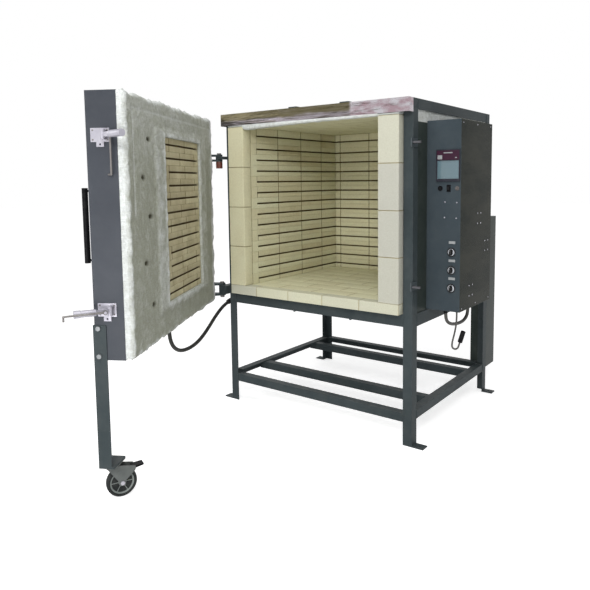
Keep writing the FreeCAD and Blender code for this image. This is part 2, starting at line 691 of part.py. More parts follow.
def build_chamber():
    start = s.frame_setback + s.angle_leg
    inner = s.frame_half - s.angle_leg
    node("floor_sheet", block((-inner, inner), (start, s.frame_rear - s.angle_leg),
                              (s.chamber_base - s.angle_wall, s.chamber_base)))
    sill = block((-s.outer_half, s.outer_half), (0, s.brick_thickness - s.brick_joint),
                 (s.chamber_base, s.floor_level))
    node("floor_bricks", [sill] + rows(s.brick_thickness, s.wall_rear, s.chamber_base, s.floor_level))
    node("front_columns", front_column(-1) + front_column(1))
    node("side_walls", side_wall(-1) + side_wall(1))
    node("back_wall", back_wall())
    roof_front = s.frame_setback + s.angle_wall + s.brick_joint
    node("roof_bricks", rows(roof_front, s.wall_rear - s.angle_wall, s.ceiling_level, s.roof_level))
    blanket = block((-s.outer_half, s.outer_half), (roof_front, s.wall_rear - s.angle_wall),
                    (s.roof_level, s.roof_level + s.blanket_thickness))
    node("lintel_fibre", lintel())
    node("heating_elements", [heating_row(number) for number in courses()])
    inside = s.frame_half - s.angle_wall - s.seat_gap
    sheets, pads = [], []
    front, rear = s.frame_setback + s.angle_wall + s.seat_gap, s.frame_rear - s.angle_wall - s.seat_gap
    panel_top = s.frame_top - s.angle_leg - s.panel_gap
    for side in (-1, 1):
        near, far = inside - s.panel_sheet, inside
        ends = (near, far) if side > 0 else (-far, -near)
        sheets.append(block(ends, (front, rear), (s.chamber_base, panel_top)))
        near, far = s.outer_half + s.seat_gap, inside - s.panel_sheet - s.seat_gap
        ends = (near, far) if side > 0 else (-far, -near)
        pads.append(block(ends, (front, rear), (s.chamber_base, s.roof_level)))
    node("side_panels", sheets)
    node("case_insulation", [blanket] + pads)
    panel = block((-s.frame_half, s.frame_half), (s.frame_rear, s.frame_rear + s.panel_sheet),
                  (s.rail_bottom, s.frame_top))
    node("back_panel", cut(panel, cylinder(s.sheath_radius + s.bore_clearance, s.panel_sheet + 2,
                                           (0, s.frame_rear - 1, sheath_level()), "y")))
    build_trim()


def build_trim():
    """Bright folded trim over the opening: a tray that is open below and behind."""
    low = s.frame_top - s.trim_height
    tray = block((-s.frame_half, s.frame_half), (-s.trim_sheet, s.frame_setback), (low, s.frame_top))
    inner = s.frame_half - s.trim_sheet
    hollow = block((-inner, inner), (0, s.frame_setback + 1), (low - 1, s.frame_top - s.trim_sheet))
    node("front_trim", cut(tray, hollow))


def build_rear():
    back = s.frame_rear + s.panel_sheet
    node("rear_wireway", block((s.frame_half - s.wireway_width, s.frame_half),
                               (back, back + s.wireway_depth), (s.wireway_bottom, s.wireway_top)))
    tip = s.chamber_depth - s.sheath_reach
    sheath = cylinder(s.sheath_radius, back - tip, (0, tip, sheath_level()), "y")
    head = cylinder(s.head_radius, s.head_length, (0, back, sheath_level()), "y")
    node("thermocouple", fuse(sheath, head))


# Control box

def knob(number):
    """Selector knob: a bright skirt, a black grip and a shaft through the panel."""
    level = s.knob_bottom + s.knob_pitch * number
    face = s.box_front - s.seat_gap
    skirt = cylinder(s.skirt_diameter / 2, s.skirt_thickness,
                     (s.knob_across, face - s.skirt_thickness, level), "y")
    grip = cone(s.grip_diameter / 2 - 1, s.grip_diameter / 2, s.grip_length,
                (s.knob_across, face - s.skirt_thickness - s.grip_length, level), "y")
    shaft = cylinder(s.shaft_diameter / 2, s.box_sheet + s.seat_gap,
                     (s.knob_across, face, level), "y")
    return fuse(skirt, grip, shaft)


def build_control_box():
    left = s.frame_half - s.angle_wall
    shell = block((left, s.box_right), (s.box_front, s.box_rear), (s.box_bottom, s.box_top))
    hollow = block((left - 1, s.box_right - s.box_sheet),
                   (s.box_front + s.box_sheet, s.box_rear - s.box_sheet),
                   (s.box_bottom + s.box_sheet, s.box_top - s.box_sheet))
    front = s.box_front - 1
    through = s.box_sheet + 2
    holes = [cylinder(s.shaft_diameter / 2 + s.bore_clearance, through,
                      (s.knob_across, front, s.knob_bottom + s.knob_pitch * number), "y")
             for number in range(3)]
    holes.append(cylinder(s.button_diameter / 2 + s.bore_clearance, through,
                          (s.button_across, front, s.switch_row), "y"))
    half = s.rocker_width / 2 + s.seat_gap
    tall = s.rocker_radius + s.seat_gap
    holes.append(block((s.rocker_across - half, s.rocker_across + half), (front, front + through),
                       (s.switch_row - tall, s.switch_row + tall)))
    node("control_box", cut(shell, hollow, *holes))
    build_controller()
    for number in range(3):
        node(f"selector_knob_{number + 1}", knob(number))
    build_switches()
    build_relays()


def build_controller():
    half = s.bezel_width / 2
    top = s.bezel_bottom + s.bezel_height
    depth = (s.box_front - s.bezel_depth, s.box_front)
    frame = block((s.bezel_across - half, s.bezel_across + half), depth, (s.bezel_bottom, top))
    wide = s.screen_width / 2
    low = s.bezel_bottom + s.screen_rise
    window = block((s.bezel_across - wide, s.bezel_across + wide),
                   (s.box_front - s.bezel_depth - 1, s.box_front + 1), (low, low + s.screen_height))
    node("controller_frame", cut(frame, window))
    gap = s.seat_gap
    node("controller_screen", block((s.bezel_across - wide + gap, s.bezel_across + wide - gap),
                                    (s.box_front - s.screen_depth, s.box_front),
                                    (low + gap, low + s.screen_height - gap)))


def build_switches():
    face = s.box_front
    inside = s.box_sheet + s.button_travel
    button = cylinder(s.button_diameter / 2, s.button_reach + s.collar_reach + inside,
                      (s.button_across, face - s.collar_reach - s.button_reach, s.switch_row), "y")
    node("push_button", button)
    collar = cylinder(s.button_diameter / 2 + s.collar_width, s.collar_reach,
                      (s.button_across, face - s.collar_reach, s.switch_row), "y")
    bore = cylinder(s.button_diameter / 2 + s.bore_clearance, s.collar_reach + 2,
                    (s.button_across, face - s.collar_reach - 1, s.switch_row), "y")
    half, tall = s.rocker_width / 2 + s.rocker_rim, s.rocker_radius + s.rocker_rim
    rim = block((s.rocker_across - half, s.rocker_across + half), (face - s.collar_reach, face),
                (s.switch_row - tall, s.switch_row + tall))
    half, tall = s.rocker_width / 2 + s.seat_gap, s.rocker_radius + s.seat_gap
    slot = block((s.rocker_across - half, s.rocker_across + half),
                 (face - s.collar_reach - 1, face + 1), (s.switch_row - tall, s.switch_row + tall))
    node("switch_collars", [cut(collar, bore), cut(rim, slot)])
    radius = s.rocker_radius
    ends = (-(s.rocker_width / 2), s.rocker_width / 2)
    shape = [(-0.45, 0.85), (-0.62, 0), (-0.45, -0.85), (0.4, -0.6), (0.4, 0.6)]
    tilt = math.radians(-s.rocker_tilt.value)
    outline = [(radius * (y * math.cos(tilt) - z * math.sin(tilt)),
                radius * (y * math.sin(tilt) + z * math.cos(tilt))) for y, z in shape]
    rocker = profile("x", outline, ends[0], s.rocker_width)
    node("power_switch", local_group([rocker], s.rocker_across, face, s.switch_row))
    base = cylinder(s.lamp_diameter / 2 + s.collar_width, s.collar_reach,
                    (s.lamp_across, face - s.collar_reach, s.switch_row), "y")
    lens = cone(s.lamp_diameter / 2 - 2, s.lamp_diameter / 2, s.collar_reach * 2,
                (s.lamp_across, face - s.collar_reach * 3, s.switch_row), "y")
    node("pilot_lamp", [base, lens])


RELAY_PLACES = [(0.34, 0.097), (0.586, 0.48), (0.844, 0.321)]


def build_relays():
    """Power relays behind the groups of screws in the side of the box, and the rotary switches."""
    relays = []
    inner = s.box_right - s.box_sheet
    wide, tall = s.relay_width / 2, s.relay_height / 2
    for along, up in RELAY_PLACES:
        middle, level = s.box_front + s.box_depth * along, s.box_bottom + s.box_height * up
        relays.append(block((inner - s.relay_depth, inner), (middle - wide, middle + wide),
                            (level - tall, level + tall)))
    back = s.box_front + s.box_sheet + s.seat_gap
    half = s.switch_body / 2
    switches = []
    for number in range(3):
        level = s.knob_bottom + s.knob_pitch * number
        switches.append(block((s.knob_across - half, s.knob_across + half),
                              (back, back + s.switch_depth), (level - half, level + half)))
    node("box_components", relays + switches)


# Cables

def route(points):
    """Straight runs joined by tangent arcs, each as large as its two runs allow."""
    edges, radii = [], []
    start = points[0]
    for before, corner, after in zip(points, points[1:], points[2:]):
        inward, outward = corner - before, after - corner
        half_turn = inward.getAngle(outward) / 2
        trim = 0.45 * min(inward.Length, outward.Length)
        radii.append(trim / math.tan(half_turn))
        enter = corner - inward.normalize() * trim
        leave = corner + outward.normalize() * trim
        bisector = (enter + leave) * 0.5 - corner
        centre = corner + bisector.normalize() * (radii[-1] / math.cos(half_turn))
        middle = centre + (corner - centre).normalize() * radii[-1]
        edges.append(Part.LineSegment(start, enter).toShape())
        edges.append(Part.Arc(enter, middle, leave).toShape())
        start = leave
    edges.append(Part.LineSegment(start, points[-1]).toShape())
    return Part.Wire(edges), radii


def cord(name, points, diameter, frame="kiln"):
    """A round cord along its route, in a node of its own."""
    path, radii = route(points)
    first = path.Edges[0]
    ring = Part.makeCircle(diameter.value / 2, first.valueAt(first.FirstParameter),
                           first.tangentAt(first.FirstParameter))
    tube = path.makePipeShell([Part.Wire([ring])], True, False)
    item = doc.addObject("Part::Feature", name)
    item.Label = name
    item.Shape = tube
    place_in_frame(item, frame)
    NODES.append(item)
    section = math.pi * diameter.value ** 2 / 4
    print(f"{name}: length {path.Length:.0f}, volume share {tube.Volume / (section * path.Length):.3f},"
          f" radii {', '.join(f'{radius:.0f}' for radius in radii)}")


# Shapes of the hanging lines. The loop and the conduit give a share of the span and a share of the
# drop; the tail gives shares of its drop along X, Y and -Z.
LOOP_SHAPE = [(0, 0), (0, 0.34), (0.08, 0.71), (0.31, 0.96), (0.64, 1), (0.87, 0.84), (1, 0.45), (1, 0)]
TAIL_SHAPE = [(0, 0, 0), (0, 0, 0.22), (-0.036, 0.01, 0.456), (-0.087, 0.02, 0.662),
              (-0.128, 0.02, 0.826), (-0.133, 0.02, 0.954), (-0.051, 0.02, 1), (0.031, 0.02, 0.954),
              (0.062, 0.015, 0.867), (0.092, 0.01, 0.774)]
CONDUIT_SHAPE = [(0, 0), (0, 0.188), (0.0235, 0.497), (0.0704, 0.738), (0.1496, 0.926), (0.2639, 1),
                 (0.3812, 0.973), (0.4912, 0.852), (0.6158, 0.604), (0.7405, 0.302), (0.8651, 0.067),
                 (0.9677, -0.027), (1, -0.047)]


def value_of(*lengths):
    return Vector(*(size(length).value for length in lengths))


def loop_ends():
    """Where the looped cable leaves its two glands."""
    low = s.box_bottom - s.gland_length
    front = (s.frame_half + s.loop_out, s.box_front + s.loop_front, low)
    return front, (front[0] + s.loop_shift, front[1] + s.loop_span, low)


def tail_end():
    """Where the loose cable leaves its gland."""
    return (s.frame_half + s.tail_out, s.box_front + s.tail_front, s.box_bottom - s.gland_length)


def hanging_line(start, end, shape, drop):
    """Control points between two ends, by shares of the span and of the drop."""
    span = Vector(end.x - start.x, end.y - start.y, 0)
    return [start + span * along - Vector(0, 0, drop.value * down) for along, down in shape]


def tail_line():
    drop = s.tail_drop.value
    return [value_of(*tail_end()) + Vector(x, y, -down) * drop for x, y, down in TAIL_SHAPE]


def build_cables():
    front, rear = loop_ends()
    glands = []
    for (x, y, low), inner in ((front, s.loop_diameter), (rear, s.loop_diameter),
                               (tail_end(), s.tail_diameter)):
        collar = cylinder(s.gland_diameter / 2, s.gland_length - s.gland_nose,
                          (x, y, low + s.gland_nose))
        nose = cone(inner / 2 + 1, s.gland_diameter / 2 - 1, s.gland_nose, (x, y, low))
        glands.append(fuse(collar, nose))
    glands.append(conduit_end())
    node("cable_glands", glands)
    cord("cable_loop", hanging_line(value_of(*front), value_of(*rear), LOOP_SHAPE, s.loop_drop),
         s.loop_diameter)
    points = tail_line()
    cord("cable_tail", points, s.tail_diameter)
    plug = doc.addObject("Part::Cylinder", "Plug")
    bind(plug, "Radius", s.connector_diameter / 2)
    bind(plug, "Height", s.connector_length)
    plug.Placement = Placement(points[-1], Rotation(Vector(0, 0, 1), points[-1] - points[-2]))
    node("cable_connector", plug)


# Door

def build_door():
    build_pan()
    build_door_bricks()
    build_hinges()
    build_handle()
    build_latches()
    build_leg()


def build_pan():
    left, right = s.door_left, s.door_right
    back, front = behind(s.door_depth), behind(s.fibre_proud)
    tray = block((left, right), (back, front), (s.door_bottom, s.door_top))
    sheet_size = s.pan_sheet
    hollow = block((left + sheet_size, right - sheet_size), (back + sheet_size, front + 1),
                   (s.door_bottom + sheet_size, s.door_top - sheet_size))
    node("door_pan", cut(tray, hollow), "door")
    gap = sheet_size + s.seat_gap
    lining = block((left + gap, right - gap), (back + gap, behind(0)),
                   (s.door_bottom + gap, s.door_top - gap))
    pocket = block((s.panel_left, s.panel_left + s.panel_width),
                   (behind(s.brick_thickness + s.panel_recess), behind(-1)),
                   (s.panel_bottom, s.panel_bottom + s.panel_height))
    node("door_lining", cut(lining, pocket), "door")


def build_door_bricks():
    pieces, elements = [], []
    left, right = s.panel_left + s.seat_gap, s.panel_left + s.panel_width - s.seat_gap
    pitch = s.panel_height / s.panel_courses
    back = behind(s.brick_thickness + s.panel_recess - s.seat_gap)
    face = behind(s.panel_recess)
    for number in range(round(s.panel_courses.value)):
        bottom = s.panel_bottom + pitch * number
        brick = block((left, right), (back, face), (bottom + s.seat_gap, bottom + pitch))
        middle = bottom + pitch / 2
        groove = block((left + s.panel_groove_inset, right - s.panel_groove_inset),
                       (face - s.groove_depth, face + 1),
                       (middle - s.groove_height / 2, middle + s.groove_height / 2))
        pieces.append(cut(brick, groove))
        low = middle - s.groove_height / 2 + s.seat_gap
        inset = s.panel_groove_inset + s.element_inset
        elements.append(block((left + inset, right - inset),
                              (face - s.element_inset - s.element_size, face - s.element_inset),
                              (low, low + s.element_size)))
    node("door_bricks", pieces, "door")
    node("door_elements", elements, "door")


def build_hinges():
    """Frame arms, door lugs above and below them, and the pins through both."""
    arms, lugs, pins = [], [], []
    axis_x, axis_y = -s.hinge_across, s.hinge_setback
    for middle, height in ((s.upper_hinge, s.upper_arm), (s.lower_hinge, s.lower_arm)):
        low, high = middle - height / 2, middle + height / 2
        bar = block((axis_x, -s.frame_half), (axis_y - s.hinge_boss, s.frame_setback + s.angle_leg),
                    (low, high))
        boss = cylinder(s.hinge_boss, height, (axis_x, axis_y, low))
        bore = cylinder(s.hinge_pin / 2 + s.bore_clearance, height + 2, (axis_x, axis_y, low - 1))
        arms.append(cut(fuse(bar, boss), bore))
        reach = s.door_left
        outline = [(-s.hinge_boss, 0), (s.hinge_boss, 0), (reach, behind(s.fibre_proud)),
                   (reach, behind(s.door_depth - s.lug_setback)),
                   (reach - s.lug_edge, behind(s.door_depth - s.lug_setback)),
                   (-s.hinge_boss, behind(s.lug_neck))]
        for bottom in (low - s.seat_gap - s.lug_thickness, high + s.seat_gap):
            plate = profile("z", outline, bottom, s.lug_thickness)
            disc = cylinder(s.hinge_boss, s.lug_thickness, (0, 0, bottom))
            hole = cylinder(s.hinge_pin / 2, s.lug_thickness + 2, (0, 0, bottom - 1))
            lugs.append(cut(fuse(plate, disc), hole))
        under = low - s.seat_gap - s.lug_thickness
        over = high + s.seat_gap + s.lug_thickness
        shank = cylinder(s.hinge_pin / 2, over - under, (0, 0, under))
        head = cylinder(s.hinge_pin * 0.8, s.pin_head, (0, 0, over))
        upper = middle is s.upper_hinge
        nut_size = s.hinge_nut / 2 if upper else s.hinge_pin * 0.8
        nut_length = s.nut_height if upper else s.pin_end
        nut = cylinder(nut_size, nut_length, (0, 0, under - nut_length))
        pins.append(fuse(shank, head, nut))
    node("frame_hinge_arms", arms)
    node("door_hinge_lugs", lugs, "door")
    node("hinge_pins", pins, "door")


def build_handle():
    out = behind(s.door_depth + s.handle_standoff)
    face = behind(s.door_depth)
    bar = cylinder(s.handle_diameter / 2, s.handle_top - s.handle_bottom,
                   (s.handle_across, out, s.handle_bottom))
    posts = []
    for level in (s.handle_bottom + s.handle_diameter / 2, s.handle_top - s.handle_diameter / 2):
        posts.append(cylinder(s.handle_post / 2, s.handle_standoff, (s.handle_across, out, level), "y"))
        posts.append(cylinder(s.handle_post, s.pan_sheet, (s.handle_across, face - s.pan_sheet, level),
                              "y"))
    node("pull_handle", fuse(bar, *posts), "door")


def latch_plate(middle):
    """Plate on the door's edge with a tab below, two ears and the lever's pin between them."""
    face = s.door_right
    sheet_end = face + s.latch_plate_sheet
    near, far = behind(s.latch_setback), behind(s.latch_setback + s.latch_plate_width)
    half = s.latch_plate_height / 2
    plate = block((face, sheet_end), (far, near), (middle - half, middle + half))
    centre = behind(s.latch_setback + s.latch_plate_width / 2)
    tab = block((face, sheet_end), (centre - s.latch_tab_width / 2, centre + s.latch_tab_width / 2),
                (middle - half - s.latch_tab_height, middle))
    hole = cylinder(4, s.latch_plate_sheet + 2,
                    (face - 1, centre, middle - half - s.latch_tab_height / 2), "x")
    pivot_x, pivot_y = face + s.pivot_standoff, behind(s.pivot_setback)
    radius = s.barrel_radius
    ears = []
    for bottom in (middle + s.barrel_height / 2 + s.seat_gap,
                   middle - s.barrel_height / 2 - s.seat_gap - s.ear_thickness):
        ears.append(block((face, pivot_x), (pivot_y - radius, pivot_y + radius),
                          (bottom, bottom + s.ear_thickness)))
        ears.append(cylinder(radius, s.ear_thickness, (pivot_x, pivot_y, bottom)))
    low = middle - s.barrel_height / 2 - s.seat_gap - s.ear_thickness
    pin = cylinder(s.pivot_pin / 2, s.barrel_height + (s.seat_gap + s.ear_thickness) * 2,
                   (pivot_x, pivot_y, low))
    return fuse(cut(fuse(plate, tab), hole), pin, *ears)


def latch_lever(with_cap):
    """Lever drawn along +x from its pivot, with the stud that carries the hook rod."""
    half = s.barrel_height / 2
    barrel = cylinder(s.barrel_radius, s.barrel_height, (0, 0, -half))
    neck = block((0, s.lever_neck + 4), (-s.lever_bar / 2, s.lever_bar / 2), (-half * 0.6, half * 0.6))
    bore = cylinder(s.pivot_pin / 2 + s.bore_clearance, s.barrel_height + 2, (0, 0, -half - 1))
    grip = cylinder(s.lever_grip, s.lever_length - s.lever_neck, (s.lever_neck, 0, 0), "x")
    stud = cylinder(s.rod_diameter / 2, s.rod_offset + s.rod_diameter / 2 + 3, (s.stud_offset, 0, 0), "y")
    washer = cylinder(s.rod_diameter / 2 + 2, 2,
                      (s.stud_offset, s.rod_offset + s.rod_diameter / 2 + s.seat_gap, 0), "y")
    parts = [barrel, neck, grip, stud, washer]
    if with_cap:
        parts.append(cylinder(s.cap_radius, s.cap_length, (s.lever_length - s.cap_length, 0, 0), "x"))
    return [cut(fuse(*parts), bore)]


def hook_rod(hanging):
    """Hook rod drawn from its eye; it hangs down, or lies along the lever."""
    reach = s.rod_length
    half = s.rod_diameter / 2
    if hanging:
        hook = cylinder(half, s.rod_hook, (-s.rod_hook, 0, -reach + half), "x")
        knee = doc.addObject("Part::Sphere", "Knee")
        bind(knee, "Radius", half)
        move(knee, 0, 0, -reach + half)
        stem = cylinder(half, reach - half, (0, 0, -reach + half))
    else:
        stem = cylinder(half, reach - half, (0, 0, 0), "x")
        hook = cylinder(half, s.rod_hook, (reach - half, 0, -s.rod_hook))
        knee = doc.addObject("Part::Sphere", "Knee")
        bind(knee, "Radius", half)
        move(knee, reach - half, 0, 0)
    eye = cylinder(s.eye_radius, s.rod_diameter * 0.8, (0, half * -0.8, 0), "y")
    bore = cylinder(half + s.bore_clearance, s.rod_diameter + 2, (0, -half - 1, 0), "y")
    return cut(fuse(stem, hook, knee, eye), bore)


def build_latches():
    node("latch_plates", [latch_plate(s.upper_latch), latch_plate(s.lower_latch)], "door")
    pivot_x, pivot_y = s.door_right + s.pivot_standoff, behind(s.pivot_setback)
    for name, level, angle, hanging in (("upper", s.upper_latch, s.upper_lever_angle, True),
                                        ("lower", s.lower_latch, s.lower_lever_angle, False)):
        lever = local_group(latch_lever(not hanging), pivot_x, pivot_y, level, angle)
        node(f"{name}_latch_lever", lever, "door")
        rod = hook_rod(hanging)
        move(rod, s.stud_offset, s.rod_offset, 0)
        node(f"{name}_hook_rod", local_group([rod], pivot_x, pivot_y, level, angle), "door")
    keepers = []
    for level in (s.upper_keeper, s.lower_keeper):
        start = s.frame_half
        half = s.keeper_plate / 2
        plate = block((start, start + s.tab_thickness),
                      (s.keeper_setback - s.keeper_front, s.keeper_setback + s.keeper_rear),
                      (level - half, level + half))
        peg = cylinder(s.keeper_diameter / 2, s.keeper_reach,
                       (start + s.tab_thickness, s.keeper_setback, level), "x")
        keepers.append(fuse(plate, peg))
    node("keeper_pegs", keepers)


def build_leg():
    """Angle leg at the free edge of the door, its bolts, and the caster under it."""
    corner_x = s.door_right + s.angle_wall
    corner_y = behind(s.door_depth + s.angle_wall)
    leg = angle_bar("z", (corner_x, corner_y), (-s.leg_width, s.leg_width), s.leg_bottom,
                    s.leg_top - s.leg_bottom)
    half = s.top_plate_width / 2
    swivel_x, swivel_y = s.swivel_across, behind(s.swivel_setback)
    foot = block((swivel_x - half, corner_x), (corner_y, swivel_y + half),
                 (s.leg_bottom - s.foot_thickness, s.leg_bottom))
    node("door_leg", fuse(leg, foot), "door")
    bolts = []
    for level in (s.leg_bolt_low, s.leg_bolt_high):
        bolts.append(cylinder(s.leg_bolt_size * 0.8, s.leg_bolt_size * 0.6,
                              (corner_x, behind(s.swivel_setback), level), "x"))
    node("leg_bolts", bolts, "door")
    plate_top = s.leg_bottom - s.foot_thickness
    plate = block((swivel_x - half, swivel_x + half), (swivel_y - half / 2, swivel_y + half),
                  (plate_top - s.top_plate_sheet, plate_top))
    node("caster_plate", plate, "door")
    build_caster(swivel_x, swivel_y, plate_top - s.top_plate_sheet)


def build_caster(swivel_x, swivel_y, underside):
    """Swivel caster drawn with its trail along +x from the swivel axis."""
    inner = s.wheel_width / 2 + s.fork_gap
    outer = inner + s.fork_sheet
    trail, axle = s.caster_trail, s.wheel_diameter / 2
    pedal_x = trail + s.pedal_reach
    ear, pad = s.fork_ear, s.pedal_ear
    outline = [(-s.fork_front, s.fork_top), (s.fork_rear, s.fork_top),
               (pedal_x + pad, s.pedal_height + pad), (pedal_x + pad, s.pedal_height - pad),
               (trail + ear * 1.3, axle + ear * 0.8), (trail + ear, axle - ear),
               (trail - ear, axle - ear), (trail - ear * 1.5, axle + ear)]
    cheeks = [profile("y", outline, inner, s.fork_sheet), profile("y", outline, -outer, s.fork_sheet)]
    crown = block((-s.fork_front, s.fork_rear), (-outer, outer),
                  (s.fork_top - s.fork_sheet, s.fork_top))
    swivel = cylinder(s.swivel_diameter / 2, underside - s.seat_gap - s.fork_top, (0, 0, s.fork_top))
    axle_bar = cylinder(s.axle_diameter / 2, (outer + 5) * 2, (trail, -outer - 5, axle), "y")
    pedal_pin = cylinder(s.pedal_pin / 2, outer * 2, (pedal_x, -outer, s.pedal_height), "y")
    place = (swivel_x, swivel_y, 0, s.caster_angle)
    node("caster_fork", local_group([fuse(*cheeks, crown, swivel, axle_bar, pedal_pin)], *place), "door")
    half = s.wheel_width / 2
    hub = cylinder(s.hub_diameter / 2, s.wheel_width - 6, (trail, -half + 3, axle), "y")
    bore = cylinder(s.axle_diameter / 2 + s.bore_clearance, s.wheel_width + 2, (trail, -half - 1, axle), "y")
    node("caster_hub", local_group([cut(hub, bore)], *place), "door")
    tyre = cylinder(s.wheel_diameter / 2, s.wheel_width, (trail, -half, axle), "y")
    hole = cylinder(s.hub_diameter / 2, s.wheel_width + 2, (trail, -half - 1, axle), "y")
    node("caster_tyre", local_group([cut(tyre, hole)], *place), "door")
    wide = inner - s.seat_gap * 2
    top = s.pedal_height
    outline = [(pedal_x - 5, top + 5), (pedal_x - 5, top - 5), (pedal_x + 5, top - 5),
               (pedal_x + s.pedal_length, top + 2), (pedal_x + s.pedal_length, top + 8)]
    pedal = profile("y", outline, -wide, wide * 2)
    pivot = cylinder(s.pedal_pin / 2 + s.bore_clearance, outer * 2, (pedal_x, -outer, top), "y")
    node("brake_pedal", local_group([cut(pedal, pivot)], *place), "door")


# Conduit between the frame and the door

def conduit_line():
    """Control points from the fitting under the open door to the one on the frame."""
    turn = math.radians(-s.door_angle.value)
    across, back = s.conduit_across.value, behind(s.conduit_setback).value
    start = Vector(across * math.cos(turn) - back * math.sin(turn) - s.hinge_across.value,
                   across * math.sin(turn) + back * math.cos(turn) + s.hinge_setback.value,
                   (s.door_bottom - s.conduit_hang).value)
    end = value_of(-s.frame_half - s.conduit_out, s.frame_setback + s.conduit_in,
                   s.rail_bottom - s.conduit_low)
    return hanging_line(start, end, CONDUIT_SHAPE, s.conduit_sag)


def conduit_end():
    """Elbow on the frame: one arm in line with the end of the conduit, one into the upright."""
    before, end = conduit_line()[-2:]
    fitting = doc.addObject("Part::Cylinder", "FrameFitting")
    bind(fitting, "Radius", s.fitting_diameter / 2)
    bind(fitting, "Height", s.fitting_length)
    along = end - before
    fitting.Placement = Placement(end, Rotation(Vector(0, 0, 1), along))
    middle = end + along.normalize() * (s.fitting_length.value / 2)
    arm = cylinder(s.fitting_diameter * 0.4, -s.frame_half - middle.x, (middle.x, middle.y, middle.z),
                   "x")
    return fuse(fitting, arm)


def build_conduit():
    node("door_conduit_fitting", cylinder(s.fitting_diameter / 2, s.conduit_hang,
                                          (s.conduit_across, behind(s.conduit_setback),
                                           s.door_bottom - s.conduit_hang)), "door")
    cord("door_conduit", conduit_line(), s.conduit_diameter)


def check_all():
    """Stop if any object failed or any sub-part has no valid shape."""
    doc.recompute()
    for item in doc.Objects:
        if any(word in item.State for word in ("Invalid", "Error")):
            raise RuntimeError(f"{item.Name} ({item.Label}) is {item.State}: {item.getStatusString()}")
    for item in NODES:
        if item.Shape.isNull() or not item.Shape.isValid() or not item.Shape.Solids:
            raise RuntimeError(f"{item.Label} has no valid shape")


def export_all():
    os.makedirs("parts", exist_ok=True)
    for item in NODES:
        item.Shape.exportStep(f"parts/{item.Label}.step")
    whole = Part.makeCompound([item.Shape for item in NODES]).optimalBoundingBox(False)
    print(f"{len(NODES)} sub-parts, X {whole.XMin:.1f} to {whole.XMax:.1f}, "
          f"Y {whole.YMin:.1f} to {whole.YMax:.1f}, Z {whole.ZMin:.1f} to {whole.ZMax:.1f}")


build_frame()
build_chamber()
build_rear()
build_control_box()
build_cables()
build_door()
build_conduit()
check_all()
export_all()
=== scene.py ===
# %% [markdown]
# This lesson dresses a front-loading kiln: a box of insulating firebrick in a welded steel stand, with
# a heavy door that rolls on its own caster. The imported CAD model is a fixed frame. Every solid of it
# keeps its place, and gets a finish or is replaced by a more detailed piece that rides on the same
# moving body. Modelling everything anew would be freer, but then nothing would promise that the
# pieces fit and move.

# %% Load the frame
import json
import math
import random

import bmesh
import bpy
from mathutils import Matrix, Vector, noise


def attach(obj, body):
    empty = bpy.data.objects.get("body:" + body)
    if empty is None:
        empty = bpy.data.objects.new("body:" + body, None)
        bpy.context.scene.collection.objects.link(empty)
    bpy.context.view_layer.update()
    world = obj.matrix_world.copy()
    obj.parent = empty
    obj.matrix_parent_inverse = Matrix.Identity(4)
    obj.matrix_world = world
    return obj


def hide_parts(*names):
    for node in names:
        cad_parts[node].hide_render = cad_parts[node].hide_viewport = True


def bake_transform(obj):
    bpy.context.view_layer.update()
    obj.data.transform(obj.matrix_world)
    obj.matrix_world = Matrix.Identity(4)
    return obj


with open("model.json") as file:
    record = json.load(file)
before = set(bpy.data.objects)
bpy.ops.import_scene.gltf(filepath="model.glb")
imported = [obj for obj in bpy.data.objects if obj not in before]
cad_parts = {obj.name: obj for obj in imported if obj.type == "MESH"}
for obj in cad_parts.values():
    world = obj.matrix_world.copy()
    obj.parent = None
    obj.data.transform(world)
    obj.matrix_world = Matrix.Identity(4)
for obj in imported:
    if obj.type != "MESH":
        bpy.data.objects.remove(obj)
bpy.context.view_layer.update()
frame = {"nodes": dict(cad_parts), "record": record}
nodes = frame["nodes"]
random.seed(7)

# %% [markdown]
# Two coordinate systems make the work easier. The kiln's own one has its middle at x = 0, the front of
# the brickwork at y = 0 and the floor at z = 0, in millimetres. The door's one starts on the hinge
# axis, with x towards the free edge and y towards the chamber, and it is turned with the open door.
# Working in metres and world axes all the time would put a turned coordinate in every line.

# %% Kiln and door coordinates
TO_METRES = Matrix.Scale(0.001, 4)
KILN_ORIGIN, HINGE_AXIS = (0.0103, 0.0584, 0), (-0.6436, 0.0841, 0)
DOOR_TURN = -60.3
KILN = Matrix.Translation(KILN_ORIGIN) @ TO_METRES
DOOR = (Matrix.Translation(HINGE_AXIS) @ Matrix.Rotation(math.radians(DOOR_TURN), 4, "Z")
        @ TO_METRES)
print("hinge axis at", [round(value, 3) for value in DOOR.translation])

# %% [markdown]
# The camera stands to the right of the kiln at a person's height. It could be aimed by a Track To
# constraint, but its place and its three angles came from fitting one camera to the brick courses,
# the stand and the control box, so they are set directly. The small shift is the crop of the picture.

# %% Camera
def link_object(name, data):
    """Make an object for any data and put it in the scene."""
    item = bpy.data.objects.new(name, data)
    bpy.context.scene.collection.objects.link(item)
    return item


